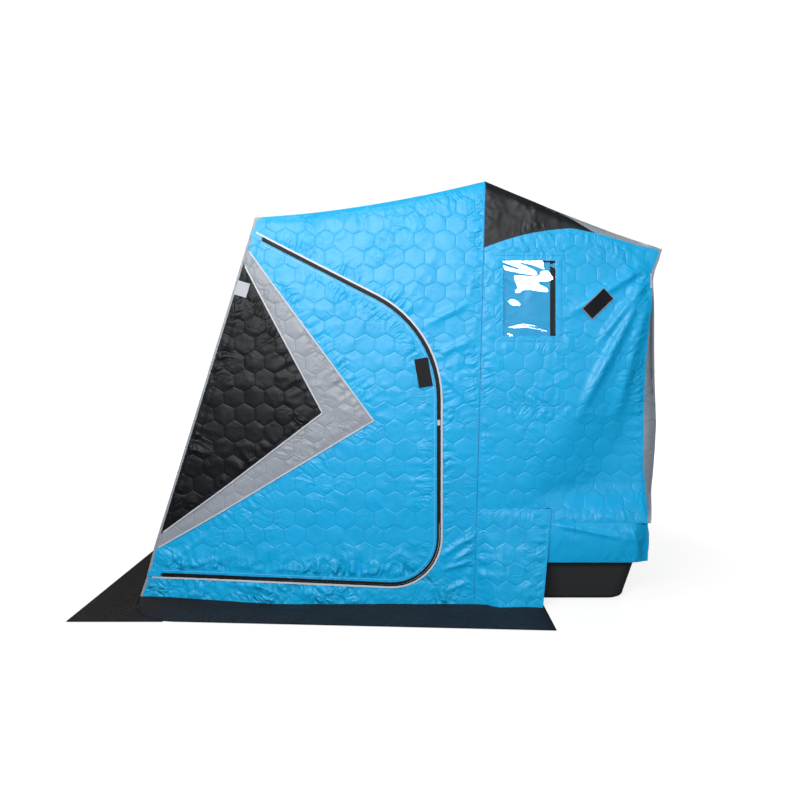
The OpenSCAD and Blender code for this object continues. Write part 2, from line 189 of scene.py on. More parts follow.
# %% Start and end a tree
def new_tree(name, inputs):
    """An empty Geometry Nodes tree with named number inputs. Gives the tree and its inputs as wires."""
    tree = bpy.data.node_groups.new(name, "GeometryNodeTree")
    tree.interface.new_socket("Geometry", in_out="INPUT", socket_type="NodeSocketGeometry")
    for key, value in inputs.items():
        tree.interface.new_socket(key, in_out="INPUT", socket_type="NodeSocketFloat").default_value = value
    tree.interface.new_socket("Geometry", in_out="OUTPUT", socket_type="NodeSocketGeometry")
    enter = tree.nodes.new("NodeGroupInput")
    return tree, {s.name: Wire(tree, s) for s in enter.outputs if s.name}


def close_tree(geometry):
    """Links the finished geometry to the tree's output."""
    leave = geometry.tree.nodes.new("NodeGroupOutput")
    geometry.tree.links.new(geometry.socket, leave.inputs[0])
    return geometry.tree


def stored(tree, name, kind="FLOAT"):
    """An attribute that the mesh carries."""
    return Wire.make(tree, "GeometryNodeInputNamedAttribute", {"Name": name}, data_type=kind)


# %% [markdown]
# Each of the three forms is a formula of its own. The puff is a dome with a crisp foot, fuller in some
# hexagons than in others. The puckers are ripples along the border that die away from it. The crumple
# is soft bumps with sharp ridges in patches, as padded cloth creases.

# %% Puff, puckers and crumple
CLOTH = {
    "Cell width": CELL,
    "Puff height": 0.0012,
    "Border fade": 0.03,
    "Pucker start": 0.010,
    "Pucker height": 0.0050,
    "Pucker length": 0.034,
    "Pucker reach": 0.050,
    "Crumple height": 0.003,
    "Crumple size": 0.10,
    "Seed": 0.0,
}


def puffed(flat, hem, given):
    gap = hex_gap(flat, given["Cell width"])
    low = 1.0 - gap / (given["Cell width"] * 0.5)
    dome = 0.6 * (1.0 - low * low) + 0.4 * gap.smooth(-0.004, 0.013)
    uneven = noise(flat.tree, Vector=flat, Scale=5.0, Detail=1.0)
    return dome * hem.smooth(0.0, given["Border fade"]) * given["Puff height"] * (0.2 + uneven * 1.6)


def puckered(flat, hem, patchy, given):
    place = stored(flat.tree, "along") / given["Pucker length"] + given["Seed"]
    ripple = noise(flat.tree, "1D", W=place, Scale=1.0, Detail=1.0)
    height = (ripple - 0.5) * 2.0 * given["Pucker height"] * (math.e ** (hem * -1.0 / given["Pucker reach"]))
    height = height * stored(flat.tree, "calm") * (0.3 + patchy.smooth(0.40, 0.65) * 1.7)
    return height * hem.smooth(given["Pucker start"] * 0.6, given["Pucker start"] * 2.2)


def crumpled(flat, hem, patchy, given):
    size, seed = given["Crumple size"], given["Seed"]
    soft = noise(flat.tree, "4D", Vector=flat, W=seed, Scale=1.0 / size, Detail=2.0, Distortion=0.6)
    ridge = noise(flat.tree, "4D", Vector=flat, W=seed + 3.0, Scale=0.6 / size, Detail=3.0, Distortion=0.4)
    ridge = (1.0 - abs(ridge - 0.5) * 2.0) ** 9.0
    height = ((soft - 0.5) * 2.0 + ridge * patchy.smooth(0.42, 0.62)) * given["Crumple height"]
    return height * hem.smooth(0.0, given["Border fade"])


def cloth_tree():
    tree, given = new_tree("Quilted cloth", CLOTH)
    flat, hem = stored(tree, "flat", "FLOAT_VECTOR"), stored(tree, "hem")
    patchy = noise(tree, "4D", Vector=flat, W=given["Seed"], Scale=4.0)
    loose = puckered(flat, hem, patchy, given) + crumpled(flat, hem, patchy, given)
    height = puffed(flat, hem, given) + loose * (1.0 + stored(tree, "slack"))
    way = stored(tree, "out", "FLOAT_VECTOR")
    move = Wire.make(tree, "ShaderNodeVectorMath", {0: way, "Scale": height}, operation="SCALE")
    return close_tree(
        Wire.make(tree, "GeometryNodeSetPosition", {"Geometry": given["Geometry"], "Offset": move})
    )


QUILT = cloth_tree()
print("cloth tree:", len(QUILT.nodes), "nodes")

# %% [markdown]
# A tree is applied by evaluating its object once and keeping the plain mesh that comes out. Modifiers
# that stay live would be simpler, but the pieces are to be plain meshes, which any other program can
# read.


# %% Apply a tree
def new_object(name, data):
    obj = bpy.data.objects.new(name, data)
    bpy.context.scene.collection.objects.link(obj)
    return obj


def grow(obj, tree, **inputs):
    """Runs a tree on obj, with inputs named like Puff_height, and keeps the result as its mesh."""
    modifier = obj.modifiers.new(tree.name, "NODES")
    modifier.node_group = tree
    for item in tree.interface.items_tree:
        key = item.name.replace(" ", "_")
        if item.in_out == "INPUT" and key in inputs:
            modifier[item.identifier] = inputs[key]
    graph = bpy.context.evaluated_depsgraph_get()
    mesh = bpy.data.meshes.new_from_object(
        obj.evaluated_get(graph), preserve_all_data_layers=True, depsgraph=graph
    )
    obj.modifiers.clear()
    if obj.type == "MESH":
        obj.data = mesh
        return obj
    name, curve = obj.name, obj.data
    bpy.data.objects.remove(obj)
    bpy.data.curves.remove(curve)
    return new_object(name, mesh)


# %% [markdown]
# ## Outlines from the CAD
# Each panel takes its outline from the CAD panel that it stands for: the border of the faces that look
# one way. So the looks follow the construction, and no outline is written twice.


# %% Read a panel's outline
def outline(node, look, pick):
    """Loops round the faces of a CAD node that look along `look`, as 2-D points of the axes in pick."""
    mesh = nodes[node].data
    keys, places, sides = {}, [], {}
    for face in mesh.polygons:
        if face.normal.dot(Vector(look)) < 0.9:
            continue
        ring = []
        for v in face.vertices:
            key = tuple(round(c * 1e5) for c in mesh.vertices[v].co)
            if key not in keys:
                keys[key] = len(places)
                places.append([mesh.vertices[v].co[i] for i in pick])
            ring.append(keys[key])
        for a, b in zip(ring, ring[1:] + ring[:1]):
            sides[(a, b)] = True
    after = {a: b for a, b in sides if (b, a) not in sides}
    loops = []
    while after:
        first = next(iter(after))
        ring = [first]
        while after[ring[-1]] != first:
            ring.append(after.pop(ring[-1]))
        after.pop(ring[-1])
        loops.append(np.array([places[i] for i in ring]))
    return sorted(loops, key=lambda loop: -abs(area(loop)))


def area(loop):
    x, y = loop.T
    return 0.5 * float(np.sum(x * np.roll(y, -1) - np.roll(x, -1) * y))


def side_outline(node):
    return outline(node, (0, -1, 0), (0, 2))


def resampled(line, step, closed=True):
    """The line again, with points at most a step apart; its own corners stay."""
    ends = np.roll(line, -1, 0) if closed else line[1:]
    out = []
    for a, b in zip(line, ends):
        n = max(1, math.ceil(np.linalg.norm(b - a) / step - 1e-6))
        out += [a + (b - a) * k / n for k in range(n)]
    return np.array(out if closed else out + [line[-1]])


door_loops = side_outline("left_door")
print("door outline:", len(door_loops[0]), "points,", round(abs(area(door_loops[0])), 3), "square metres")

# %% [markdown]
# ## Filling an outline with triangles
# The stitch lines look crisp because the mesh follows them: its inner points lie on a triangular
# lattice that runs through every corner of the honeycomb. A constrained Delaunay triangulation joins
# lattice and border.

# %% Triangulate a panel
FINE, COARSE = SIDE / 6, SIDE / 2


def lattice(low, high, step):
    """Points of a triangular lattice with one direction upright, that covers the box from low to high."""
    across = step * math.sqrt(0.75)
    columns = np.arange(math.floor(low[0] / across), math.ceil(high[0] / across) + 1)
    rows = np.arange(math.floor(low[1] / step) - 1, math.ceil(high[1] / step) + 1)
    c, r = np.meshgrid(columns, rows)
    return np.stack([c * across, (r + (c % 2) / 2) * step], -1).reshape(-1, 2)


def inside(points, loops):
    """Which points lie inside the loops, holes left out, by counting crossings."""
    x, y = points.T
    odd = np.zeros(len(points), bool)
    for loop in loops:
        for (ax, ay), (bx, by) in zip(loop, np.roll(loop, -1, 0)):
            if ay != by:
                odd ^= ((ay > y) != (by > y)) & (x < (bx - ax) * (y - ay) / (by - ay) + ax)
    return odd


def nearest(points, line):
    """For each point, the distance to the nearest point of line, and which one that is."""
    tree = KDTree(len(line))
    for i, p in enumerate(line):
        tree.insert((p[0], p[1], 0), i)
    tree.balance()
    found = [tree.find((p[0], p[1], 0)) for p in points]
    return np.array([f[2] for f in found]), np.array([f[1] for f in found], int)


def triangulated(loops, seams, line_step, inner_step):
    """Points and triangles that fill the loops, with edges along the seams."""
    lines = [(resampled(loop, line_step), True) for loop in loops]
    lines += [(resampled(seam, line_step, closed=False), False) for seam in seams]
    fixed = np.concatenate([line for line, closed in lines])
    inner = lattice(fixed.min(0), fixed.max(0), inner_step)
    inner = inner[inside(inner, loops)]
    inner = inner[nearest(inner, fixed)[0] > 0.55 * line_step]  # so that no slivers lie along the lines
    sides, start = [], 0
    for line, closed in lines:
        n = len(line)
        sides += [(start + i, start + (i + 1) % n) for i in range(n if closed else n - 1)]
        start += n
    made = delaunay_2d_cdt([Vector(p) for p in np.concatenate([fixed, inner])], sides, [], 0, 1e-6)
    points, faces = np.array([tuple(p) for p in made[0]]), np.array([tuple(f) for f in made[2]])
    faces = faces[inside(points[faces].mean(1), loops)]
    a, b, c = (points[faces[:, i]] for i in range(3))
    turn = (b - a)[:, 0] * (c - a)[:, 1] - (b - a)[:, 1] * (c - a)[:, 0]
    return points, np.where(turn[:, None] < 0, faces[:, ::-1], faces)


# %% [markdown]
# ## From outline to cloth
# A panel is a closed piece of cloth: a fine outer layer, a coarser inner layer that shares its border,
# and a rim. Solidify could add the second layer, but would copy the fine one. The function `place`
# bends the flat cloth into the room: it gives each flat point its outer place, its inner place and the
# direction in which it puffs. Lines where two outlines of one panel touch are left out of its border,
# because nothing is sewn there.

# %% Measure a panel
BORDER_STEP = 0.003  # between the points of a border that distances are measured from


def border_points(loops, seams):
    """Points along the panel's border and seams, without lines that two loops share."""
    rings = [resampled(loop, BORDER_STEP) for loop in loops]
    kept = []
    for i, ring in enumerate(rings):
        rest = [other for j, other in enumerate(rings) if j != i]
        kept.append(ring[nearest(ring, np.concatenate(rest))[0] > 0.002] if rest else ring)
    return np.concatenate(kept + [resampled(seam, BORDER_STEP, closed=False) for seam in seams])


def steadiness(flat, at, edges, rounds=4):
    """1 where neighbours share the nearest piece of border, falling to 0 where it changes."""
    a, b = edges.T
    jump = np.abs(at[a] - at[b]) * BORDER_STEP > 2.5 * np.linalg.norm(flat[a] - flat[b], axis=1)
    calm = np.ones(len(flat))
    calm[np.concatenate([a[jump], b[jump]])] = 0
    for _ in range(rounds):
        low = calm.copy()
        np.minimum.at(low, a, calm[b] + 1 / rounds)
        np.minimum.at(low, b, calm[a] + 1 / rounds)
        calm = low
    return calm


def ease(value, low, high):
    """0 below low, 1 above high, with an even curve between."""
    t = np.clip((value - low) / (high - low), 0, 1)
    return t * t * (3 - 2 * t)


def surface_area(points, faces):
    a, b, c = (points[faces[:, i]] for i in range(3))
    return 0.5 * float(np.linalg.norm(np.cross(b - a, c - a), axis=1).sum())


# %% Build a cloth panel
SLACK_FROM, SLACK_TO = 0.30, 0.10  # heights between which slack cloth comes loose
CREASE_ANGLE = math.radians(50)  # edges sharper than this aren't smoothed
flat_sizes = {}  # width, length, area as cut and area as placed of each piece


def store(mesh, key, values):
    """Keeps numbers or vectors, one for each point, on the mesh."""
    kind, field = ("FLOAT", "value") if values.ndim == 1 else ("FLOAT_VECTOR", "vector")
    numbers = np.ascontiguousarray(values, np.float32).ravel()
    mesh.attributes.new(key, kind, "POINT").data.foreach_set(field, numbers)


def cloth(name, loops, place, seams=(), fine=FINE, coarse=COARSE, lining=0.35, slack=0.0, **inputs):
    """A closed cloth panel on flat loops. Its inner layer moves inwards, lining times as far as the outer."""
    outer, outer_faces = triangulated(loops, seams, fine, fine)
    inner, inner_faces = triangulated(loops, seams, fine, coarse)
    over, under = place(outer), place(inner)

    sides = np.concatenate([outer_faces[:, [0, 1]], outer_faces[:, [1, 2]], outer_faces[:, [2, 0]]])
    have = {tuple(side) for side in sides.tolist()}
    rim = sorted((a, b) for a, b in have if (b, a) not in have)
    twin = nearest(outer, inner)[1] + len(outer)
    faces = outer_faces.tolist() + (inner_faces[:, ::-1] + len(outer)).tolist()
    faces += [(b, a, int(twin[a]), int(twin[b])) for a, b in rim]
    mesh = bpy.data.meshes.new(name)
    mesh.from_pydata(np.concatenate([over[0], under[1]]).tolist(), [], faces)
    mesh.polygons.foreach_set("use_smooth", [True] * len(faces))

    flat = np.concatenate([outer, inner])
    far, at = nearest(flat, border_points(loops, seams))
    edges = np.concatenate([sides, inner_faces[:, :2] + len(outer), inner_faces[:, 1:] + len(outer)])
    store(mesh, "flat", np.pad(flat, ((0, 0), (0, 1))))
    store(mesh, "out", np.concatenate([over[2], under[2] * -lining]))
    store(mesh, "hem", far)
    store(mesh, "along", at * BORDER_STEP)
    store(mesh, "calm", steadiness(flat, at, edges))
    store(mesh, "slack", slack * (1 - ease(flat[:, 1], SLACK_TO, SLACK_FROM)))
    obj = grow(new_object(name, mesh), QUILT, **inputs)
    obj.data.set_sharp_from_angle(angle=CREASE_ANGLE)

    wide, long = np.ptp(np.concatenate(loops), axis=0).tolist()
    cut = surface_area(np.pad(outer, ((0, 0), (0, 1))), outer_faces)
    flat_sizes[name] = (wide, long, cut, surface_area(over[0], outer_faces))
    print(f"{name}: {len(faces)} faces, {wide:.3f} by {long:.3f} flat, {cut:.3f} square metres")
    return obj


# %% [markdown]
# ## The lines of the side view
# Front, roof and rear are strips of cloth that wrap the whole width. Their end faces give the lines of
# the side view: an outer and an inner line for each strip, in the order front, front roof, rear roof,
# rear.

# %% Profile lines
MIDDLE = np.array([0.2, 0.8])  # a place inside the hut


def profile(node, axis, sign):
    """A wrap strip's outer and inner line in the side view, sorted along one axis."""
    loop = side_outline(node)[0]
    steps = np.linalg.norm(np.roll(loop, -1, 0) - loop, axis=1)
    first, second = sorted(np.argsort(steps)[:2])
    lines = [loop[first + 1 : second + 1], np.concatenate([loop[second + 1 :], loop[: first + 1]])]
    lines = [line if (line[-1] - line[0])[axis] * sign > 0 else line[::-1] for line in lines]
    return sorted(lines, key=lambda line: -np.linalg.norm(line - MIDDLE, axis=1).mean())


STRIPS = {
    "front_wall": profile("front_wall", 1, 1),
    "roof_front": profile("roof_front", 0, 1),
    "roof_rear": profile("roof_rear", 0, 1),
    "rear_wall": profile("rear_wall", 1, -1),
}
roof_line = np.concatenate([STRIPS["roof_front"][0], STRIPS["roof_rear"][0][1:]])
rear_line = STRIPS["rear_wall"][0][::-1, ::-1]  # height first
front_line = STRIPS["front_wall"][0][:, ::-1]
for strip, (outer_line, inner_line) in STRIPS.items():
    print(strip, outer_line[0].round(3), "to", outer_line[-1].round(3), len(outer_line), len(inner_line))

# %% [markdown]
# ## How the cloth hangs
# Cloth stretched on bows isn't flat. Under the roof the wall rolls over, behind the rear bow it sinks
# in and its rear edge is drawn in, and a few long folds run to the corners. A cloth simulation could
# find such a shape, but not the one in the photo. So the moves are written down: some heights with the
# shift of an edge there, joined by straight lines, and a list of folds. `hang` gives the moves for any
# point of the side.

# %% Edges and folds
WALL = 0.85  # half the width over the walls' outer faces
RIM = 0.357  # height of the sled's rim, where the rear wall starts
FOLDS = [  # ends in the side view, half width, height: long folds
    ((1.215, 1.500), (0.800, 1.235), 0.020, 0.014),
    ((1.205, 1.455), (0.940, 1.100), 0.018, 0.016),
    ((1.195, 1.430), (0.850, 0.760), 0.022, 0.018),
    ((1.200, 1.400), (1.020, 0.680), 0.028, 0.012),
    ((0.275, 0.205), (0.465, 0.330), 0.012, 0.008),
    ((0.330, 0.185), (0.445, 0.265), 0.009, 0.007),
    ((0.280, 0.150), (0.430, 0.198), 0.009, 0.007),
    ((0.300, 0.060), (0.425, 0.115), 0.010, 0.007),
    ((-0.905, 0.165), (-0.700, 0.330), 0.010, 0.004),
    ((-0.900, 0.150), (-0.620, 0.215), 0.010, 0.004),
    ((0.215, 1.215), (0.440, 1.330), 0.018, 0.006),
    ((0.265, 1.080), (0.470, 1.180), 0.016, 0.005),
    ((0.275, 1.020), (0.430, 0.870), 0.016, 0.005),
]
MILLI = (1, 0.001)  # makes metres of a second column in millimetres
SILHOUETTE = np.array(  # height and rear edge's shift: drawn in high up, bulging low down
    [(RIM, 0), (0.455, 8), (0.542, 17), (0.673, 22), (0.782, 23), (0.890, 15), (1.108, -5), (1.326, -25)]
    + [(1.413, -34), (1.457, -26), (1.500, -11), (1.545, 0)]
) * MILLI
REAR_SEAM = np.array(  # height and distance of the blue wall's rear seam from the rear line
    [(RIM, 14), (0.390, 17), (0.455, 18), (0.520, 22), (0.651, 29), (0.782, 31), (0.847, 33), (0.977, 38)]
    + [(1.108, 39), (1.239, 39), (1.304, 33), (1.369, 38), (1.435, 47), (1.480, 24), (1.505, 3)]
) * MILLI
FRONT_BOW = np.array(  # height and how far the front edge bows out
    [(0, 2), (0.1, 8), (0.25, 14), (0.4, 12), (0.8, 6), (1.3, 0), (1.62, -3)]
) * MILLI
ROOF_SEAM = np.array(  # place and drop of the wall's top seam below the rear roof line
    [(0.700, 1), (0.760, 3), (0.811, 6), (0.832, 9), (0.868, 16), (0.904, 25), (0.952, 36), (1.024, 30)]
    + [(1.089, 23), (1.155, 20), (1.205, 10)]
) * MILLI
edges = (SILHOUETTE, REAR_SEAM, FRONT_BOW, ROOF_SEAM)
print(len(FOLDS), "folds, and edges with", [len(edge) for edge in edges], "points")

# %% [markdown]
# Depths count from the wall's plane inwards. Every move fades out with `ease`, so that moves can be
# added up without a step between them.

# %% The wall's hang
ROOF_ROLL = 0.03  # how far the wall's top rolls inwards
FOOT_LIFT = 0.033  # how far the wall's foot is off the ice at the front corner
REAR_BOW = np.array([(0.512, 0.360), (1.246, 1.545)])  # the line that the rear bow draws on the wall
SINK = 0.06  # how far the wall sinks in behind that line
TURN_IN, TURN_BACK = 0.028, 0.008  # how far the rear edge turns inwards and backwards
SIDE_CLOTH = 0.008  # thickness of the padded side
LEFT, UP, BACK = (0.0, -1.0, 0.0), (0.0, 0.0, 1.0), (1.0, 0.0, 0.0)


def roof_roll(x):
    return ROOF_ROLL * ease(x, roof_line[0, 0], roof_line[0, 0] + 0.3) * (1 - ease(x, 1.0, 1.2))


def hem_lift(x):
    return FOOT_LIFT * (1 - ease(x, -1.016, -0.35))


def fold(x, z, start, end, width, height):
    """How far one long fold lifts the cloth."""
    (ax, az), (bx, bz) = start, end
    long = math.hypot(bx - ax, bz - az)
    ux, uz = (bx - ax) / long, (bz - az) / long
    t = ((x - ax) * ux + (z - az) * uz) / long
    across = (x - ax) * uz - (z - az) * ux
    return height * np.exp(-((across / width) ** 2)) * ease(t, 0, 0.25) * (1 - ease(t, 0.6, 1))


def hang(x, z):
    """Side points as they hang: x, depth behind the wall's plane, z."""
    below = np.interp(x, *roof_line.T) - z
    depth = roof_roll(x) * (1 - ease(below, -0.02, 0.05)) ** 1.5
    foot, head = REAR_BOW
    ray = (head - foot) / np.linalg.norm(head - foot)
    behind = (x - foot[0]) * ray[1] - (z - foot[1]) * ray[0]
    depth = depth + SINK * ease(behind, 0.02, 0.34) * ease(z, RIM, 0.53) * (1 - ease(z, 1.1, 1.5))

    inward = np.interp(z, *rear_line.T) - x
    seam = np.maximum(np.interp(z, *REAR_SEAM.T), 0.03)
    shift = np.interp(z, *SILHOUETTE.T) * (1 - ease(inward, 0.01, seam))
    away = (1 - ease(inward, 0.0, seam)) * ease(z, RIM, 0.43) * (1 - ease(z, 1.25, 1.4))
    depth, shift = depth + TURN_IN * away, shift + TURN_BACK * away
    for line in FOLDS:
        depth = depth - fold(x, z, *line)

    ahead = x - np.interp(z, *front_line.T)
    shift = shift - np.interp(z, *FRONT_BOW.T) * (1 - ease(ahead, 0.0, 0.25))
    return x + shift, depth, z + hem_lift(x) * (1 - ease(z, 0, 0.13))


def layers(outer, way, thick):
    """An outer layer, an inner layer a thickness behind it, and the way it puffs, for `cloth`."""
    return outer, outer - np.array(way) * thick, np.tile(way, (len(outer), 1))


def place_side(flat):
    """Places points of the left side as they hang."""
    x, depth, z = hang(*flat.T)
    return layers(np.stack([x, depth - WALL, z], -1), LEFT, SIDE_CLOTH)


print("behind the rear bow the wall sinks in by", hang(np.array([1.0]), np.array([0.8]))[1].round(3))

# %% [markdown]
# ## The door's lines
# The zip follows the door's free edge, and two cords follow the seams between its panels. All three are
# runs of the CAD outlines' edges that pass a test, so they move with the panels.


# %% Find the door's lines
def shared_line(loop, test):
    """The longest run of the loop's edges whose middles pass the test, as a line."""
    ok = [test((a + b) / 2) for a, b in zip(loop, np.roll(loop, -1, 0))]
    n, best = len(loop), []
    for start in range(n):
        run = 0
        while run < n and ok[(start + run) % n]:
            run += 1
        if run > len(best) - 1:
            best = [loop[(start + k) % n] for k in range(run + 1)]
    return np.array(best)


def offset(line, left):
    way = np.gradient(line, axis=0)
    way /= np.linalg.norm(way, axis=1)[:, None]
    return line + np.stack([-way[:, 1], way[:, 0]], -1) * left


door_loop, chevron_loop, panel_loop = (
    side_outline("left_" + n)[0] for n in ("door", "door_chevron", "door_front")
)
dense = {key: resampled(loop, 0.002) for key, loop in (("chevron", chevron_loop), ("panel", panel_loop))}
hinge = door_loop[np.argmin(door_loop[:, 0])]  # the cord's foot
hinge_way = np.array((0.28195, 0.959429))  # the cord's direction


def near(key, limit=0.003):
    return lambda p: np.min(np.linalg.norm(dense[key] - p, axis=1)) < limit


def behind_cord(points):
    """How far points of the side lie behind the cord that the door folds about."""
    return (points - hinge) @ (hinge_way[1], -hinge_way[0])


def free_edge(p):
    return not near("chevron")(p) and abs(behind_cord(p)) > 0.004


zip_line = shared_line(door_loop, free_edge)
if zip_line[0, 1] < zip_line[-1, 1]:
    zip_line = zip_line[::-1]
upper_seam = shared_line(door_loop, near("chevron"))
lower_seam = shared_line(chevron_loop, near("panel"))
for label, line in (("zip", zip_line), ("blue to grey", upper_seam), ("grey to black", lower_seam)):
    print(label, "from", line[0].round(3), "to", line[-1].round(3), len(line), "points")

# %% [markdown]
# ## The left side
# Blue, grey and black panels make up the side. Seams inside a panel, such as those round the window and
# under it, are sewn like borders: the puff dies away there and puckers start. The door's cloth is sewn
# round its cord, so its edge is drawn out over the cord. The rear panels are cut back to the seams that
# show in the photo.

# %% Seams and panels
WINDOW_SEAMS = [
    np.array([(0.523, 1.518), (0.837, 1.518)]),
    np.array([(0.811, 1.500), (0.811, 1.165)]),
    np.array([(0.515, 1.147), (0.811, 1.147)]),
    np.array([(0.567, 0.869), (0.833, 0.869)]),
]
ZIP_SEAM = offset(resampled(zip_line, 0.01, closed=False), -0.018)[6:-6]
PANELS = {  # panel: CAD nodes, seams, seed
    "door": (["door"], [ZIP_SEAM], 1.0),
    "door_chevron": (["door_chevron"], [], 2.0),
    "door_front": (["door_front"], [], 3.0),
    "wall_front": (["wall_over_door", "wall_post", "wall_sill"], [], 4.0),
    "wall_rear": (["wall_rear"], WINDOW_SEAMS, 5.0),
    "roof_corner": (["roof_corner"], [], 6.0),
}
MORE = {  # inputs that differ; the inner layer of what bends at the cord is finer
    "door": dict(coarse=0.014),
    "door_chevron": dict(coarse=0.01, Puff_height=0.0018, Crumple_height=0.0035),
    "door_front": dict(coarse=0.01, Puff_height=0.0024),
    "roof_corner": dict(Puff_height=0.0, Crumple_height=0.006, Crumple_size=0.07),
}
SLACK = 2.4  # how much more the side puckers and crumples near the ice
print(len(PANELS), "panels with", sum(len(panel[1]) for panel in PANELS.values()), "seams inside")

# %% Left panels
CORNER_TIP = 0.955  # where the black corner's arc meets the roof's seam
AT_REAR, AT_ROOF = 0.013, 0.0135  # points of an outline nearer to an edge than this are on it
ABOVE_RIM, ARCH = 0.360, 1.5  # the rear edge is above the first height, and the black corner above the second
OVER_CORD, CORD_LIFT = 0.009, 0.006  # how far the door's cloth goes past the cord and in front of it


def drawn_in(loop):
    """The outline with its roof edge moved out over the roof, and its rear edges moved in to the seams."""
    loop = resampled(loop, 0.012)
    x, z = loop.T
    inward, below = np.interp(z, *rear_line.T) - x, np.interp(x, *roof_line.T) - z
    at_rear = (inward < AT_REAR) & (z > ABOVE_RIM)
    drop = np.interp(x, *ROOF_SEAM.T)
    at_roof = (inward > AT_REAR) & ((below < AT_ROOF) | ((z > ARCH) & (x > CORNER_TIP)))
    on_arc = ~at_roof & ~at_rear & (z > ARCH) & (x > 0.8)
    if on_arc.any():
        last = below[on_arc][np.argmax(x[on_arc])]
        fall = np.interp(CORNER_TIP, *ROOF_SEAM.T) - last
        z = np.where(on_arc, z - fall * ease(x, 0.84, CORNER_TIP), z)
    x = np.where(at_rear, x + inward - np.maximum(np.interp(z, *REAR_SEAM.T, right=0), inward), x)
    before, after = loop[:, 0] - roof_line[0, 0] < 0.02, loop[:, 0] > ROOF_SEAM[-1, 0]
    drop = np.where(before, below, np.where(after, np.maximum(drop, below), drop))
    z = np.where(at_roof, z + below - drop, z)
    return np.stack([x, z], -1)


def over_cord(loop):
    """A door panel's outline, with the edges that end at the hinge drawn out over the cord."""
    inset = behind_cord(loop)
    drawn = loop.copy()
    for i in np.flatnonzero(np.abs(inset) < 0.001):
        for k in (i - 1, (i + 1) % len(loop)):
            if inset[k] > 0.001:
                drawn[i] = loop[i] + (loop[i] - loop[k]) * OVER_CORD / inset[k]
    return drawn


def place_door(flat):
    """Places the door's cloth: it lies on the wall's plane, and in front of the cord near the hinge."""
    outer, inner, out = place_side(flat)
    lift = np.outer(CORD_LIFT * (1 - ease(behind_cord(flat), 0.010, 0.040)), (0, 1, 0))
    return outer - lift, inner - lift, out


made = {}
for panel, (names, seams, seed) in PANELS.items():
    loops = [loop for name in names for loop in side_outline("left_" + name)]
    if "door" in panel:
        loops, place = [over_cord(loop) for loop in loops], place_door
    else:
        loops, place = [drawn_in(loops[0])] + loops[1:], place_side
    if panel == "roof_corner":
        loops = [loops[0][loops[0][:, 0] < CORNER_TIP]]
    more = MORE.get(panel, {})
    made[panel] = cloth("left_" + panel + "_cloth", loops, place, seams, Seed=seed, slack=SLACK, **more)

# %% [markdown]
# Between these seams and the edges, the grey cloth of roof and rear comes round the corner. It is sewn
# in as two narrow lips, each with a seam for one side of its outline and the CAD panel's edge for the
# other.

# %% Lips
LIP_CLOTH = 0.004  # a lip is a hem of this thickness
LIP_POINTS = 48  # along each side of a lip's outline


def place_lip(flat):
    return layers(place_side(flat)[0], LEFT, LIP_CLOTH)


def lip(seam, line, inner_line, upright):
    """The outline between a seam and the CAD panel's edge, counted along one axis."""
    along = np.linspace(seam[0, 0], seam[-1, 0], LIP_POINTS)
    axis = 1 if upright else 0
    order = np.argsort(inner_line[:, axis])
    edge = np.interp(along, inner_line[order, axis], inner_line[order, 1 - axis])
    full = np.interp(along, *(line[:, ::-1] if upright else line).T)
    sewn = np.minimum(full - np.interp(along, *seam.T), edge - 0.0005)
    ring = np.concatenate([np.stack([along, sewn], -1), np.stack([along, edge], -1)[::-1]])
    return ring[:, ::-1] if upright else ring


roof_lip = lip(ROOF_SEAM, roof_line, STRIPS["roof_rear"][1], upright=False)
rear_lip = lip(REAR_SEAM, rear_line[:, ::-1], STRIPS["rear_wall"][1], upright=True)
made["roof_lip"] = cloth(
    "left_roof_lip_cloth", [roof_lip], place_lip, lining=-1.0, Seed=12.0,
    Puff_height=0.0015, Crumple_height=0.002, Pucker_height=0.001,
)
made["rear_lip"] = cloth(
    "left_rear_lip_cloth", [rear_lip], place_lip, lining=-1.0, Seed=13.0,
    Puff_height=0.002, Crumple_height=0.004, Crumple_size=0.08, Border_fade=0.015,
)

# %% [markdown]
# The flap beside the sled hangs free at its rear edge, over the plain band that goes round the sled.
# The band has no stitching, so its puff height is 0, but it bulges, with two folds where it is drawn to
# the corner.

# %% Flap and band
FLAP_OFF, FLAP_FREE = 0.004, 0.045  # how far the flap stands off the wall, at its root and at its free corner
BAND_BULGE, BAND_TURN = 0.007, 0.03  # how far the band bulges, and turns in at the sled's corner
FLAP_CLOTH, BAND_CLOTH = 0.006, 0.004  # thicknesses
BAND_FOLDS = [((0.74, 0.362), (1.12, 0.285), 0.010, 0.008), ((1.10, 0.36), (1.16, 0.19), 0.012, 0.009)]


def place_flap(flat):
    x, _, z = hang(*flat.T)
    free = FLAP_FREE * ease(x, x.min(), x.min() + 0.12) * (1 - (z - z.min()) / np.ptp(z))
    return layers(np.stack([x, -WALL - FLAP_OFF - free, z], -1), LEFT, FLAP_CLOTH)


def place_band(flat):
    x, z = flat.T
    low, high = z.min(), z.max()
    bulge = BAND_BULGE * np.sin(np.pi * np.clip((z - low) / (high - low), 0, 1)) ** 0.7
    for line in BAND_FOLDS:
        bulge = bulge + fold(x, z, *line)
    y = -WALL - bulge + BAND_TURN * ease(x, 1.12, 1.198)
    return layers(np.stack([x, y, z], -1), LEFT, BAND_CLOTH)


made["flap"] = cloth(
    "left_flap_cloth", side_outline("left_flap"), place_flap, Seed=7.0,
    Puff_height=0.0014, Crumple_height=0.004,
)
made["band"] = cloth(
    "left_band_cloth", side_outline("left_band"), place_band, Seed=8.0,
    Puff_height=0.0, Crumple_height=0.006, Crumple_size=0.16, Pucker_height=0.002,
)

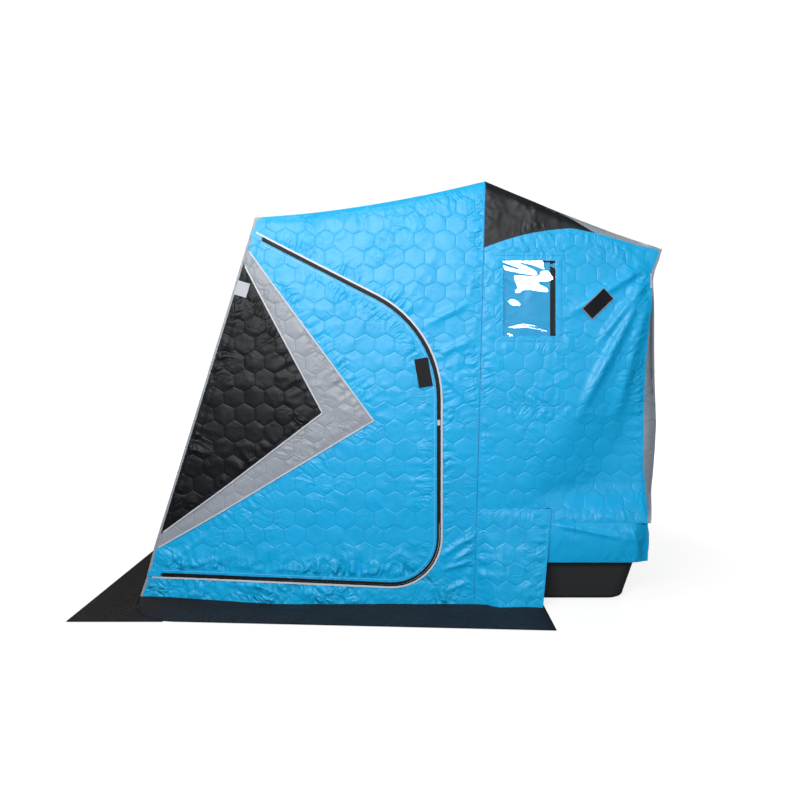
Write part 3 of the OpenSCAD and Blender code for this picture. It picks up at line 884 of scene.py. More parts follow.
# %% [markdown]
# ## The wrapping strips
# Front, roof and rear go round the hut in one width of cloth. A strip's flat coordinates are the width,
# counted from right to left, and the length along the outer line. Both lines are followed at the same
# share of their length, so the mitred ends meet the next strip. Near the walls a strip hangs as they
# do.


# %% Front, roof and rear
def lengths(line):
    """How far along the line each of its points is."""
    return np.concatenate([[0], np.cumsum(np.linalg.norm(np.diff(line, axis=0), axis=1))])


def along_line(line, share):
    """Points at shares from 0 to 1 of the line's length, and the directions there."""
    ends = lengths(line)
    at = share * ends[-1]
    points = np.stack([np.interp(at, ends, line[:, i]) for i in (0, 1)], -1)
    cell = np.clip(np.searchsorted(ends, at, side="right") - 1, 0, len(line) - 2)
    ways = np.diff(line, axis=0) / np.diff(ends)[:, None]
    return points, ways[cell]


TUCK = 0.011  # how far a strip's sides are tucked in behind the walls
EDGE = 0.16  # a strip hangs as the wall does, up to this far from it


def place_strip(outer_line, inner_line, length):
    def place(flat):
        y, share = -flat[:, 0], flat[:, 1] / length
        both = []
        for line in (outer_line, inner_line):
            (x, z), (wx, wz) = (a.T for a in along_line(line, share))
            edge = 1 - ease(WALL - np.abs(y), 0, EDGE)
            hx, depth, hz = hang(x, z)
            tuck = depth + TUCK * ease(x, -0.5, -0.45) * (1 - ease(x, 1.15, 1.2))
            both.append(np.stack([x + (hx - x) * edge, y * (1 - tuck / WALL), z + (hz - z) * edge], -1))
        return both[0], both[1], np.stack([-wz, 0 * wx, wx], -1)

    return place


def sheet(length):
    """The outline of a flat strip of cloth, as wide as the hut."""
    return np.array([(-WALL, 0), (WALL, 0), (WALL, length), (-WALL, length)])


for strip, (outer_line, inner_line) in STRIPS.items():
    length = float(np.linalg.norm(np.diff(outer_line, axis=0), axis=1).sum())
    place = place_strip(outer_line, inner_line, length)
    made[strip] = cloth(strip + "_cloth", [sheet(length)], place, fine=SIDE / 4, Puff_height=0.0028, Seed=9.0)

# %% [markdown]
# The band behind the sled is plain cloth that bulges between its edges, and turns in where it meets the
# sides.

# %% Rear band
rear_low, rear_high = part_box("rear_band")
drop = rear_high[2] - rear_low[2]
REAR_BULGE, REAR_TURN = 0.012, 0.06  # how far it bulges or turns in, and how wide that turn is
REAR_HALF = 0.82  # half its width


def place_rear_band(flat):
    turn = 1 - ease(WALL - np.abs(flat[:, 0]), 0, REAR_TURN)
    bulge = REAR_BULGE * np.sin(np.pi * flat[:, 1] / drop) - REAR_BULGE * turn
    outer = np.stack([rear_high[0] + bulge, -flat[:, 0] * REAR_HALF / WALL, rear_high[2] - flat[:, 1]], -1)
    return layers(outer, BACK, BAND_CLOTH)


made["rear_band"] = cloth(
    "rear_band_cloth", [sheet(drop)], place_rear_band, fine=SIDE / 3, Seed=10.0,
    Puff_height=0.0, Crumple_height=0.005,
)

# %% [markdown]
# ## Skirts
# The skirts keep the wind out: plain cloth that lies on the ice, to be weighed down with snow. Their
# inner edges climb to the walls' foot at the front corner. They lie as they fell, so crumples and
# puckers are all they need.

# %% Skirts on the ice
SKIRT_TOP, SKIRT_CLOTH = 0.007, 0.003
CLIMB_WIDTH = 0.07  # how far from the wall the climb fades out
SKIRT = dict(
    Puff_height=0.0, Pucker_height=0.0025, Pucker_reach=0.06, Crumple_height=0.005, Crumple_size=0.13,
    Seed=11.0,
)


def place_skirt(flat):
    x, y = flat.T
    climb = hem_lift(x) * np.exp(-(((np.abs(y) - WALL) / CLIMB_WIDTH) ** 2)) * (x > -1.03)
    return layers(np.stack([x, y, SKIRT_TOP + climb], -1), UP, SKIRT_CLOTH)


for skirt in ("left_skirt", "front_skirt"):
    loops = outline(skirt, (0, 0, 1), (0, 1))
    made[skirt.replace("left_", "")] = cloth(
        skirt + "_cloth", loops, place_skirt, fine=SIDE / 4, lining=-1.0, **SKIRT
    )

# %% [markdown]
# ## Window
# The pane is a thin clear sheet. A flat one would mirror each lamp as a straight bar, so it gets slow
# waves, which break up the reflections as on soft vinyl. The cover is a plain sheet of cloth behind it.

# %% Pane and cover
WAVES = [  # height, turns across and up, start
    (0.00016, 12.2, 20.7, 3.21),
    (0.0001, 26.0, 40.4, 0.51),
    (0.00006, 10.9, 84.3, 2.36),
    (0.000026, 46.1, 121.6, 1.10),
]
PANE, COVER = -0.8445, -0.8375  # where their outer faces are, across the hut
PANE_SHEET, COVER_CLOTH = 0.001, 0.003  # thicknesses
PLAIN = dict(Puff_height=0.0, Pucker_height=0.0)


def place_pane(flat):
    x, z = flat.T
    wave = sum(high * np.sin(across * x + up * z + start) for high, across, up, start in WAVES)
    return layers(np.stack([x, PANE + wave, z], -1), LEFT, PANE_SHEET)


def place_cover(flat):
    x, z = flat.T
    return layers(np.stack([x, np.full(len(flat), COVER), z], -1), LEFT, COVER_CLOTH)


made["window_pane"] = cloth(
    "left_window_pane_sheet", side_outline("left_window_pane"), place_pane,
    fine=0.006, coarse=0.006, Crumple_height=0.0, **PLAIN,
)
made["window_cover"] = cloth(
    "left_window_cover_cloth", side_outline("left_window_cover"), place_cover,
    fine=0.01, Crumple_height=0.004, **PLAIN,
)

# %% [markdown]
# ## Ribbons
# Zip tapes, bindings and patches are flat ribbons. Curves with a flat bevel could make them, but may
# twist in bends. Here a ribbon follows a line in the side view, between two offsets to its left, and
# lies on the hanging cloth: four lines of points, joined to a closed box section.


# %% Ribbons along lines
def shortened(line, ends):
    """The line without a length at both of its ends."""
    far = lengths(line)
    return line[(far >= ends) & (far <= far[-1] - ends)]


def fix_normals(mesh):
    """Turns the faces of a closed mesh outwards."""
    work = bmesh.new()
    work.from_mesh(mesh)
    bmesh.ops.recalc_face_normals(work, faces=work.faces)
    work.to_mesh(mesh)
    work.free()


def ribbon(name, line, left, right, lift, thick, step=0.008, ends=0.0):
    """A flat ribbon between two offsets to the left of the line, lifted off the hanging wall."""
    line = shortened(resampled(line, step, closed=False), ends)
    points = []
    for aside, up in ((left, lift), (left, lift + thick), (right, lift + thick), (right, lift)):
        x, depth, z = hang(*offset(line, aside).T)
        points.append(np.stack([x, depth - WALL - up, z], -1))
    n = len(line)
    bands = ((0, n), (n, 2 * n), (2 * n, 3 * n), (3 * n, 0))
    faces = [(a + i, a + i + 1, b + i + 1, b + i) for a, b in bands for i in range(n - 1)]
    faces += [(0, n, 2 * n, 3 * n), (4 * n - 1, 3 * n - 1, 2 * n - 1, n - 1)]
    mesh = bpy.data.meshes.new(name)
    mesh.from_pydata(np.concatenate(points).tolist(), [], faces)
    mesh.update()
    fix_normals(mesh)
    return new_object(name, mesh)


# %% [markdown]
# ## Materials
# The cloth is coated polyester: even in colour, with a soft sheen that shows every crease. One function
# makes them all. As painted shade, the colour darkens in the stitch grooves, and on the skirt towards
# its border; it also varies a little over the cloth. A first Bump node, with heights in metres, adds
# creases, fine puckers at the hems and the dip of the stitches, and a second one adds the weave. The
# large forms are in the mesh, so the bump only has to sharpen them.


# %% Plain surfaces
def surface(name, color, roughness, shine=0.5, metallic=0.0):
    """A material with one Principled shader. Gives the material and the shader node."""
    material = bpy.data.materials.new(name)
    material.use_nodes = True
    tree = material.node_tree
    tree.nodes.clear()
    shader = tree.nodes.new("ShaderNodeBsdfPrincipled")
    sockets = {"Base Color": (*color, 1), "Roughness": roughness, "Metallic": metallic}
    sockets["Specular IOR Level"] = shine
    for key, value in sockets.items():
        shader.inputs[key].default_value = value
    tree.links.new(shader.outputs[0], tree.nodes.new("ShaderNodeOutputMaterial").inputs[0])
    return material, shader


FINISHES = {  # name, colour, roughness, shine, metallic
    "grey_cord": ("grey cord", (0.26, 0.27, 0.30), 0.6),
    "light_tape": ("light reflective tape", (0.56, 0.58, 0.62), 0.4),
    "zip_black": ("black zip tape", (0.006, 0.008, 0.010), 0.5, 0.2),
    "zip_teeth": ("black zip teeth", (0.008, 0.009, 0.010), 0.5, 0.2),
    "patch": ("black patch", (0.006, 0.0065, 0.008), 0.6, 0.2),
    "thread": ("dark blue thread", (0.004, 0.15, 0.42), 0.6),
    # painted highlight: lighter than the blue cloth, for the lit edge of the fold beside the zip
    "bright_thread": ("bright blue thread", (0.10, 0.55, 0.90), 0.4),
    "sled_plastic": ("sled plastic", (0.033, 0.034, 0.035), 0.42, 0.35),
    "grey_tape": ("grey tape", (0.44, 0.46, 0.50), 0.5),
    "slider_metal": ("slider metal", (0.75, 0.75, 0.76), 0.3, 0.5, 1.0),
    "frame_tube": ("satin tube", (0.45, 0.46, 0.48), 0.35, 0.5, 1.0),
    "frame_steel": ("powder coat", (0.05, 0.05, 0.055), 0.45),
}
COLORS = {key: surface(*finish)[0] for key, finish in FINISHES.items()}
print(len(COLORS), "plain materials")

# %% Cloth surfaces
CREASE, GROOVE = 0.009, 0.0008  # heights of the creases at a crinkle of 1, and of the stitches' dip
RIPPLES, PULL_REACH = 32.0, -26.0  # fine puckers: how close they are, and how they fade from the hem
WEAVE, WEAVE_SCALE = 0.15, 420.0


def cloth_height(flat, crinkle, pucker):
    """Heights of creases and hem puckers, and the patches in which they are stronger."""
    tree = flat.tree
    hem, along, calm, slack = (
        Wire.make(tree, "ShaderNodeAttribute", out="Fac", attribute_name=name)
        for name in ("hem", "along", "calm", "slack")
    )
    crease = noise(tree, Vector=flat, Scale=16.0, Detail=4.0, Roughness=0.5, Distortion=1.2)
    patchy = noise(tree, Vector=flat, Scale=5.0, Detail=1.0)
    creases = abs(crease - 0.5) * (CREASE * crinkle) * (0.2 + patchy.smooth(0.4, 0.65) * 1.8)
    place = along * RIPPLES + (patchy - 0.5) * hem * 160.0
    ripple = noise(tree, "1D", W=place, Scale=1.0, Detail=2.0)
    pull = math.e ** (hem * PULL_REACH) * hem.smooth(0.006, 0.024) * calm
    pull = pull * (0.35 + patchy.smooth(0.42, 0.6) * 1.3)
    return (creases + (ripple - 0.5) * pull * pucker) * (1.0 + slack), hem, patchy


def cloth_surface(name, color, roughness, shine, crinkle, stitched=True, pucker=0.010, edge_shade=1.0):
    """A cloth's material. Its colour is multiplied by edge_shade at the hem, as painted shade."""
    material, shader = surface(name, color, roughness, shine)
    tree = material.node_tree
    flat = Wire.make(tree, "ShaderNodeAttribute", out="Vector", attribute_name="flat")
    height, hem, patchy = cloth_height(flat, crinkle, pucker)
    shade = 0.9 + noise(tree, Vector=flat, Scale=7.0, Detail=4.0) * 0.2
    # painted shade: towards the border the colour darkens by edge_shade, as the shadow of the cloth's edge
    shade = shade * (edge_shade + hem.smooth(0.001, 0.010) * (1.0 - edge_shade))
    if stitched:
        gap = hex_gap(flat, CELL)
        # painted shade: the colour darkens in the stitch grooves, where shade falls
        shade = shade * (0.89 + gap.smooth(0.0003, 0.0022) * 0.11)
        height = height + gap.smooth(-0.0005, 0.0055) * GROOVE * (0.3 + patchy * 1.3)
    mix = {0: shade, 6: (0, 0, 0, 1), 7: (*color, 1)}
    tint = Wire.make(tree, "ShaderNodeMix", mix, out=2, data_type="RGBA", clamp_factor=False)
    tree.links.new(tint.socket, shader.inputs["Base Color"])
    weave = noise(tree, Vector=flat, Scale=WEAVE_SCALE, Detail=2.0)
    bump = Wire.make(tree, "ShaderNodeBump", {"Strength": 1.0, "Distance": 1.0, "Height": height})
    bump = {"Strength": WEAVE, "Distance": 0.001, "Height": weave, "Normal": bump}
    tree.links.new(Wire.make(tree, "ShaderNodeBump", bump).socket, shader.inputs["Normal"])
    return material


BLUE, GREY, BLACK = (0.003, 0.392, 0.74), (0.295, 0.316, 0.352), (0.005, 0.0055, 0.0072)
COLORS |= {
    "blue_quilt": cloth_surface("blue quilted cloth", BLUE, 0.38, 0.4, crinkle=0.34),
    "grey_quilt": cloth_surface("grey quilted cloth", GREY, 0.38, 0.4, crinkle=0.5),
    "black_quilt": cloth_surface("black quilted cloth", BLACK, 0.42, 0.2, crinkle=0.36),
    "blue_cloth": cloth_surface("plain blue cloth", BLUE, 0.38, 0.4, crinkle=0.2, stitched=False),
    "black_cloth": cloth_surface(
        "plain black cloth", (0.009, 0.011, 0.013), 0.45, 0.3, crinkle=0.3, stitched=False
    ),
    # painted shade: the skirt darkens towards its border, as the shadow of its edge
    "skirt": cloth_surface(
        "skirt cloth", (0.0185, 0.0166, 0.0168), 0.6, 0.15,
        crinkle=1.6, stitched=False, pucker=0.02, edge_shade=0.4,
    ),
}
print(len(COLORS), "materials with the cloths")

# %% [markdown]
# The pane lets most light straight through, and a small share meets a glossy film that mirrors the
# lamps. A glass shader would bend what is behind, and a thin sheet doesn't.

# %% Clear vinyl
FILM = 0.07  # the share of light that meets the film


def clear_sheet():
    material, shader = surface("clear vinyl", (0.95, 0.97, 1.0), 0.015, metallic=1.0)
    tree = material.node_tree
    through = Wire.make(tree, "ShaderNodeBsdfTransparent")
    film = Wire(tree, shader.outputs[0])
    blend = Wire.make(tree, "ShaderNodeMixShader", {0: FILM, 1: through, 2: film})
    tree.links.new(blend.socket, tree.nodes["Material Output"].inputs[0])
    return material


COLORS["clear_vinyl"] = clear_sheet()
print(len(COLORS), "materials in all")

# %% [markdown]
# ## Rows along a line
# Zip teeth and stitches repeat along a line, hundreds of times. This tree puts a small block on evenly
# spaced points of a curve, turned along it, makes the copies real and sets their material.

# %% The row tree
BLOCK = {"Pitch": 0.005, "Length": 0.002, "Width": 0.002, "Height": 0.002}


def row_tree():
    tree, given = new_tree("Row of blocks", BLOCK)
    tree.interface.new_socket("Material", in_out="INPUT", socket_type="NodeSocketMaterial")
    material = Wire(tree, given["Geometry"].socket.node.outputs["Material"])
    spaced = {"Curve": given["Geometry"], "Length": given["Pitch"]}
    points = Wire.make(tree, "GeometryNodeCurveToPoints", spaced, mode="LENGTH")
    way = {"Vector": points.output("Tangent")}
    turn = Wire.make(tree, "FunctionNodeAlignRotationToVector", way, axis="X", pivot_axis="Y")
    size = {0: given["Length"], 1: given["Height"], 2: given["Width"]}
    block = Wire.make(tree, "GeometryNodeMeshCube", {"Size": Wire.make(tree, "ShaderNodeCombineXYZ", size)})
    placed = {"Points": points, "Instance": block, "Rotation": turn}
    real = {"Geometry": Wire.make(tree, "GeometryNodeInstanceOnPoints", placed)}
    real = Wire.make(tree, "GeometryNodeRealizeInstances", real)
    return close_tree(Wire.make(tree, "GeometryNodeSetMaterial", {"Geometry": real, "Material": material}))


ROW = row_tree()
print("row tree:", len(ROW.nodes), "nodes")


def row(name, line, left, lift, material, ends=0.0, **inputs):
    """Blocks along a line of the side view, shifted to its left and lifted off the hanging wall."""
    line = shortened(offset(resampled(line, 0.005, closed=False), left), ends)
    x, depth, z = hang(*line.T)
    curve = bpy.data.curves.new(name, "CURVE")
    curve.dimensions = "3D"
    spline = curve.splines.new("POLY")
    spline.points.add(len(line) - 1)
    places = np.stack([x, depth - WALL - lift, z, np.ones(len(line))], -1)
    spline.points.foreach_set("co", places.ravel())
    return grow(new_object(name, curve), ROW, Material=material, **inputs)


# %% [markdown]
# ## Zip, piping and trims
# The zip runs round the door's free edge. Its inner tape rides with the door, its outer tape and the
# light binding stay with the wall. Offsets count from the edge of the door leaf outwards. Small covers
# of cloth, the garages, hide the zip's ends, and light piping marks the seams of the door.

# %% Zip and piping
trims = []  # pairs: an object of the left side, True if it rides with the door
TAPE_LIFT, TAPE, TEETH_LIFT = 0.0025, 0.0012, 0.0040  # how high tapes and teeth lie, and a tape's thickness
ZIP_END = 0.035  # the zip stops short of the door's corners
OVER_TAPE = 0.0066  # how high garages and piping lie
GARAGE_ENDS, GARAGE_SIDES = (-0.018, 0.036), (-0.012, 0.0085)  # along the zip from its end, and across
PIPING, PIPING_HIGH = (-0.0028, 0.0028), 0.0025
SIDE_SEAM = np.array([(0.4322, 0.025), (0.4796, 1.825)])


def trim(name, material, on_door, make, *sizes, **more):
    """Makes a piece of trim on the left side and gives it its material."""
    obj = make("left_" + name, *sizes, **more)
    obj.data.materials.clear()
    obj.data.materials.append(COLORS[material])
    trims.append((obj, on_door))


teeth = COLORS["zip_teeth"]
trim("zip_inner", "zip_black", True, ribbon, zip_line, -0.0075, 0.0026, TAPE_LIFT, TAPE, ends=ZIP_END)
trim("zip_outer", "zip_black", False, ribbon, zip_line, 0.0034, 0.0095, TAPE_LIFT, TAPE, ends=ZIP_END)
trim("binding", "light_tape", False, ribbon, zip_line, 0.0095, 0.0175, TAPE_LIFT, 0.002)
trim("teeth_inner", "zip_teeth", True, row, zip_line, 0.0014, TEETH_LIFT, teeth, ends=ZIP_END)
trim("teeth_outer", "zip_teeth", False, row, zip_line, 0.0046, TEETH_LIFT, teeth, ends=ZIP_END)
# painted highlight: a light blue ribbon stands for the lit edge of the fold beside the zip
trim("zip_seam", "bright_thread", True, ribbon, zip_line, -0.0195, -0.017, 0.0022, TAPE, ends=0.05)
for key, line, turned in (("garage_top", zip_line[:2], 1), ("garage_low", zip_line[:-3:-1], -1)):
    way = (line[1] - line[0]) / np.linalg.norm(line[1] - line[0])
    line = line[0] + np.outer(GARAGE_ENDS, way)
    left, right = (aside * turned for aside in GARAGE_SIDES)
    trim(key, "blue_cloth", True, ribbon, line, left, right, OVER_TAPE, TAPE)
for key, line in (("piping_outer", upper_seam), ("piping_inner", lower_seam)):
    trim(key, "light_tape", True, ribbon, line, *PIPING, OVER_TAPE, PIPING_HIGH)
trim("side_seam", "thread", False, ribbon, SIDE_SEAM, -0.0012, 0.0012, 0.0015, 0.001)
print(len(trims), "pieces of trim along the door")

# %% [markdown]
# Patches of hook-and-loop tape sit beside the zip and behind the window, and light tabs at two edges.
# They are short ribbons, as are the dark strips along the right and top edges of the window's cover.
# Stitches follow the seams round the window.

# %% Patches, tabs and stitches
PATCHES = [  # name, material, rides with the door, middle, direction, length, width, lift, thickness
    ("door_patch", "patch", True, (0.211, 1.011), (0.17, -0.985), 0.125, 0.06, 0.0075, 0.0015),
    ("front_tab", "grey_tape", True, (-0.574, 1.372), (0.282, 0.959), 0.063, 0.054, 0.0075, 0.0015),
    ("rear_patch_edge", "grey_cord", False, (0.9655, 1.309), (0.724, 0.690), 0.133, 0.067, 0.007, 0.001),
    ("rear_patch", "patch", False, (0.9655, 1.309), (0.724, 0.690), 0.126, 0.06, 0.008, 0.0015),
    ("rear_tab", "light_tape", False, (1.200, 1.408), (0.0, 1.0), 0.062, 0.013, 0.004, 0.0015),
    ("cover_edge", "patch", False, (0.774, 1.33), (0.0, 1.0), 0.326, 0.024, -0.0115, 0.001),
    ("cover_top", "patch", False, (0.735, 1.492), (1.0, 0.0), 0.100, 0.006, -0.0115, 0.001),
]
STITCH = dict(Pitch=0.006, Length=0.0045, Width=0.0016, Height=0.001)


def patch(name, middle, way, long, wide, lift, thick):
    way = np.array(way) / np.linalg.norm(way)
    line = np.array(middle) + np.outer((-0.5, 0.5), way * long)
    return ribbon(name, line, -wide / 2, wide / 2, lift, thick, step=0.02)


for name, material, on_door, *sizes in PATCHES:
    trim(name, material, on_door, patch, *sizes)
for number, seam in enumerate(WINDOW_SEAMS):
    trim(f"stitches_{number}", "thread", False, row, seam, 0.0, 0.0006, COLORS["thread"], **STITCH)
print(len(trims), "pieces of trim with the patches and stitches")

# %% Slider and pull
SLIDER = (0.271, -0.862, 0.782), (0.284, -0.8540, 0.806)  # opposite corners
PULL = (0.274, -0.8595, 0.660), (0.281, -0.8570, 0.784)


def block(name, low, high):
    corners = [(x, y, z) for x in (low[0], high[0]) for y in (low[1], high[1]) for z in (low[2], high[2])]
    faces = [(0, 1, 3, 2), (4, 6, 7, 5), (0, 4, 5, 1), (2, 3, 7, 6), (0, 2, 6, 4), (1, 5, 7, 3)]
    mesh = bpy.data.meshes.new(name)
    mesh.from_pydata(corners, [], faces)
    fix_normals(mesh)
    return new_object(name, mesh)


trim("slider", "slider_metal", True, block, *SLIDER)
trim("pull", "zip_black", True, block, *PULL)
print(len(trims), "pieces of trim on the left side")

# %% [markdown]
# ## What each piece stands for
# A cloth panel replaces its CAD node and takes the material of its slot in the record, and a piece of the
# shelter rides the shelter's body. The door is sewn on along its cord; its pieces keep their places and
# ride no body. The photo shows only the left side, and the right one repeats it: every left piece is
# copied and mirrored.

# %% The cast
CAST = {  # panel: slot, CAD nodes, rides with the door, held by
    "door": ("blue_quilt", ["door"], True, ["door_piping"]),
    "door_chevron": ("grey_quilt", ["door_chevron"], True, ["door_piping"]),
    "door_front": ("black_quilt", ["door_front"], True, ["door_piping"]),
    "wall_front": ("blue_quilt", ["wall_over_door", "wall_post", "wall_sill"], False, []),
    "wall_rear": ("blue_quilt", ["wall_rear"], False, []),
    "roof_corner": ("black_cloth", ["roof_corner"], False, []),
    "roof_lip": ("grey_quilt", [], False, []),
    "rear_lip": ("grey_quilt", [], False, []),
    "flap": ("blue_quilt", ["flap"], False, []),
    "band": ("blue_cloth", ["band"], False, []),
    "skirt": ("black_cloth", ["skirt"], False, []),
    "window_pane": ("clear_vinyl", ["window_pane"], False, []),
    "window_cover": ("blue_cloth", ["window_cover"], False, []),
}
BOWS = ["ridge_bow", "rear_bow", "front_bow"]
BEND = [  # from where the cloth stays with the wall, to where it goes with the door
    (hinge[0] + hinge_way[1] * far, 0.0, hinge[1] - hinge_way[0] * far) for far in (-0.008, 0.020)
]
# Bent cuts fill less than LEAST_SHARE of their box, and are given a width that is worked out from their
# area instead of measured.
LEAST_SHARE, STATED_SHARE = 0.32, 0.6


def mirrored(obj):
    """A copy of a left piece for the right side."""
    mesh = obj.data.copy()
    mesh.transform(Matrix.Scale(-1, 4, (0, 1, 0)))
    mesh.flip_normals()
    mesh.name = obj.name.replace("left_", "right_")
    return new_object(mesh.name, mesh)


def follow(obj, body):
    """Lets a piece ride the shelter's body; a door's piece only gets its transform applied to its mesh."""
    if body == "shelter":
        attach(obj, body)
    else:
        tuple(BEND[0])
        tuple(BEND[1])
        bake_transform(obj)


def declare(obj, panel, slot, body, cad, size):
    """Dresses one cloth piece with its material, lets it follow its body and hides its CAD nodes."""
    obj.data.materials.clear()
    obj.data.materials.append(COLORS["skirt" if "skirt" in panel else slot])
    follow(obj, body)
    if cad:
        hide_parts(*cad)
    wide, long, cut, placed = size
    if "lip" in panel:  # turns the corner, so it was cut wider than it shows from the side
        wide, cut = wide * placed / cut, placed
    if cut < LEAST_SHARE * wide * long:
        wide = cut / (STATED_SHARE * long)
    slot != "clear_vinyl"


# %% Dress the pieces on both sides
for panel, (slot, cad, on_door, rests) in CAST.items():
    size = flat_sizes[made[panel].name]
    for side in ("left_", "right_"):
        obj = made[panel] if side == "left_" else mirrored(made[panel])
        rests_on = [side + name for name in rests] or BOWS
        body = side + "door" if on_door else "shelter"
        declare(obj, panel, slot, body, [side + name for name in cad], size)
for strip in [*STRIPS, "front_skirt", "rear_band"]:
    slot = {"front_skirt": "black_cloth", "rear_band": "blue_cloth"}.get(strip, "grey_quilt")
    declare(made[strip], strip, slot, "shelter", [strip], flat_sizes[made[strip].name])
for obj, on_door in trims:
    for piece, side in ((obj, "left_"), (mirrored(obj), "right_")):
        follow(piece, side + "door" if on_door else "shelter")
print(2 * len(CAST) + len(STRIPS) + 2, "panels and", 2 * len(trims), "trims on both sides")

# %% [markdown]
# The sled is a moulded tub, and bows, rails and brackets are tubes and steel. They and the door cords
# stay as the CAD made them, and only get materials and smooth shading.

# %% Hard parts
HARD = ("sled_plastic", "frame_tube", "frame_steel", "grey_cord")
HARD_EDGE = math.radians(35)  # edges sharper than this aren't smoothed
hard_parts = [part for part in frame["record"]["subparts"] if part["material_slot"] in HARD]
for part in hard_parts:
    mesh = nodes[part["node"]].data
    mesh.materials.clear()
    mesh.materials.append(COLORS[part["material_slot"]])
    mesh.polygons.foreach_set("use_smooth", [True] * len(mesh.polygons))
    mesh.set_sharp_from_angle(angle=HARD_EDGE)
print(len(hard_parts), "hard parts")

# %% [markdown]
# ## Studio
# The photo has a plain white ground with a faint shadow. The floor is white to the camera alone, and
# fades to pure white away from the hut, so the shadow stays and the floor has no edge. To the hut it is
# dark, because pale light from below would lift the blacks.

# %% Floor
FLOOR_HALF = 30
FLOOR_DARK, FLOOR_PALE = 0.11, 0.79  # its tone to the hut, and what the camera sees on top of that
SHADOW_NEAR, SHADOW_FAR = 1.6, 3.0  # distances between which the shadow fades out
SHADOW_GLOW = 0.65  # the share of pure white beside the hut

corners = [(-FLOOR_HALF, -FLOOR_HALF, 0), (FLOOR_HALF, -FLOOR_HALF, 0)]
corners += [(FLOOR_HALF, FLOOR_HALF, 0), (-FLOOR_HALF, FLOOR_HALF, 0)]
floor_mesh = bpy.data.meshes.new("floor")
floor_mesh.from_pydata(corners, [], [(0, 1, 2, 3)])
floor = new_object("floor", floor_mesh)
white, shader = surface("white floor", (0.90, 0.90, 0.90), 0.9, shine=0.0)
tree = white.node_tree
sees = Wire.make(tree, "ShaderNodeLightPath", out="Is Camera Ray")
pale = Wire.make(tree, "ShaderNodeCombineColor", {i: FLOOR_DARK + sees * FLOOR_PALE for i in range(3)})
tree.links.new(pale.socket, shader.inputs["Base Color"])
glow = Wire.make(tree, "ShaderNodeEmission", {"Color": (1, 1, 1, 1), "Strength": 1.25})
place = Wire.make(tree, "ShaderNodeTexCoord", out="Object")
far = Wire.make(tree, "ShaderNodeVectorMath", {0: place}, out="Value", operation="LENGTH")
share = sees * (SHADOW_GLOW + far.smooth(SHADOW_NEAR, SHADOW_FAR) * (1 - SHADOW_GLOW))
blend = Wire.make(tree, "ShaderNodeMixShader", {0: share, 1: Wire(tree, shader.outputs[0]), 2: glow})
tree.links.new(blend.socket, tree.nodes["Material Output"].inputs[0])
floor_mesh.materials.append(white)
print("floor of", 2 * FLOOR_HALF, "by", 2 * FLOOR_HALF)

# %% [markdown]
# The world is white to the camera and gives a weak light all round. A wide lamp in front of the side is
# the main light, one from above rakes over the quilting, and weak bluish ones lift the low parts. The
# lamps at the top, the rear and the front are for other views. Four narrow lamps far in front are there
# to be mirrored in the pane.

# %% Light
WORLD_DIM, WORLD_SEEN = 0.11, 0.92  # its strength to the hut, and what the camera sees on top of that
LAMPS = [  # name, place, target, size, power, colour
    ("key", (-0.5, -4.2, 2.0), (0.0, -0.85, 1.2), 2.6, 113, (1, 1, 1)),
    ("rake", (-0.3, -2.1, 3.4), (0.0, -0.85, 0.7), 1.2, 20, (1, 1, 1)),
    ("fill", (2.9, -4.2, 0.7), (0.8, -0.85, 0.4), 2.4, 24, (0.62, 0.82, 1.0)),
    ("low", (-0.8, -4.4, 0.45), (-0.2, -0.85, 0.3), 2.4, 7, (0.6, 0.78, 1.0)),
    ("top", (0.0, 0.6, 4.6), (0.0, 0.6, 0.0), 3.0, 16, (1, 1, 1)),
    ("rear", (3.0, 4.2, 2.4), (0.0, 0.4, 0.9), 2.5, 120, (1, 1, 1)),
    ("front", (-4.6, 0.6, 2.4), (-0.8, 0.2, 0.8), 2.0, 60, (1, 1, 1)),
]
KEY_HEIGHT = 1.3
STRIP_LAMPS = [  # middle, width, height and tilt of the lamps that show in the window
    ((1.235, 1.870), 0.36, 0.085, -0.03),
    ((1.315, 1.715), 0.33, 0.120, 0.30),
    ((1.232, 1.302), 0.30, 0.018, 0.37),
    ((1.286, 1.250), 0.38, 0.012, 0.0),
]
STRIP_PLACE, STRIP_POWER = -5.2, 85  # where they stand in front, and their watts per square metre


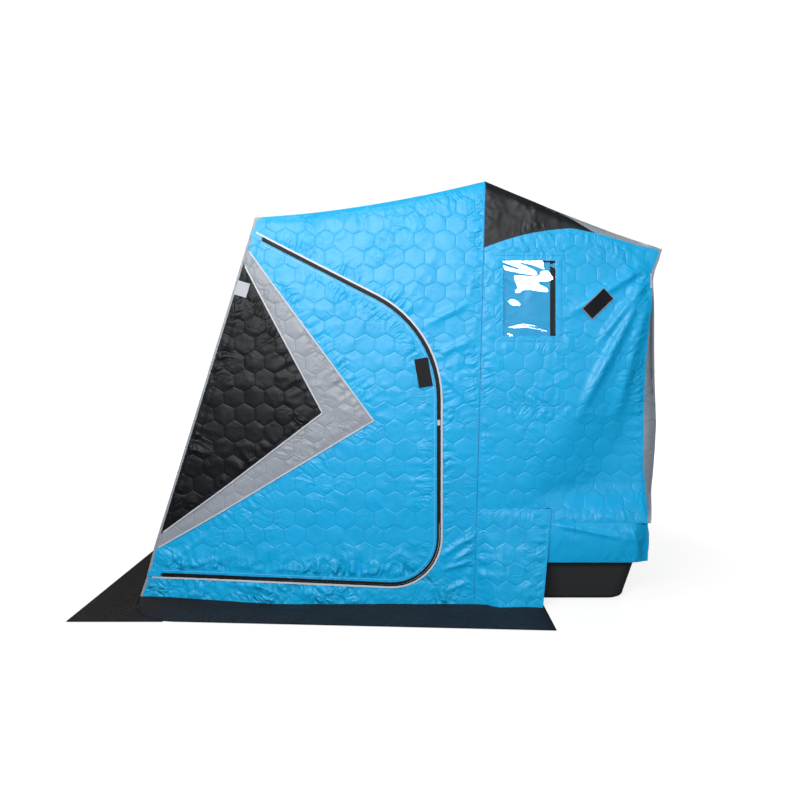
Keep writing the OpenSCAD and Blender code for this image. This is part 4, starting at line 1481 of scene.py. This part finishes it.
def lamp(name, place, target, size, power, color=(1, 1, 1)):
    data = bpy.data.lights.new(name, "AREA")
    data.shape, data.size, data.energy, data.color = "DISK", size, power, color
    obj = new_object(name, data)
    obj.location = place
    obj.rotation_euler = (Vector(target) - Vector(place)).to_track_quat("-Z", "Y").to_euler()
    return obj


world = bpy.data.worlds.new("studio")
bpy.context.scene.world = world
world.use_nodes = True
tree = world.node_tree
tree.nodes.clear()
sees = Wire.make(tree, "ShaderNodeLightPath", out="Is Camera Ray")
strength = WORLD_DIM + sees * WORLD_SEEN
glow = Wire.make(tree, "ShaderNodeBackground", {"Color": (1, 1, 1, 1), "Strength": strength})
tree.links.new(glow.socket, tree.nodes.new("ShaderNodeOutputWorld").inputs[0])

lamps = [lamp(*values) for values in LAMPS]
lamps[0].data.shape, lamps[0].data.size_y = "ELLIPSE", KEY_HEIGHT
for (x, z), wide, high, tilt in STRIP_LAMPS:
    glint = lamp("window light", (x, STRIP_PLACE, z), (x, 0, z), wide, STRIP_POWER * wide * high)
    glint.data.shape, glint.data.size_y = "RECTANGLE", high
    glint.rotation_euler = (Matrix.Rotation(-tilt, 3, "Y") @ glint.rotation_euler.to_matrix()).to_euler()
print(len(LAMPS), "large lamps and", len(STRIP_LAMPS), "narrow ones")

# %% [markdown]
# The camera stands where the photo's lines say it stood. It looks straight along, and its picture is
# shifted as with a view camera, so upright lines stay upright.

# %% Camera
CAMERA_PLACE = (0.140, -4.55, 1.13)
LENS, SENSOR = 38.40, 36  # in millimetres
PHOTO_PIXELS, PIXELS_ASIDE, PIXELS_UP = 800, -7, -55  # the photo's width, and how far the picture is shifted
camera_data = bpy.data.cameras.new("camera")
camera_data.lens, camera_data.sensor_width = LENS, SENSOR
camera_data.shift_x, camera_data.shift_y = PIXELS_ASIDE / PHOTO_PIXELS, PIXELS_UP / PHOTO_PIXELS
camera = new_object("camera", camera_data)
camera.location = CAMERA_PLACE
camera.rotation_euler = (math.radians(90), 0, 0)
bpy.context.scene.camera = camera
bpy.context.scene.view_settings.view_transform = "Standard"
print("camera with a field of", round(math.degrees(camera_data.angle), 1), "degrees")
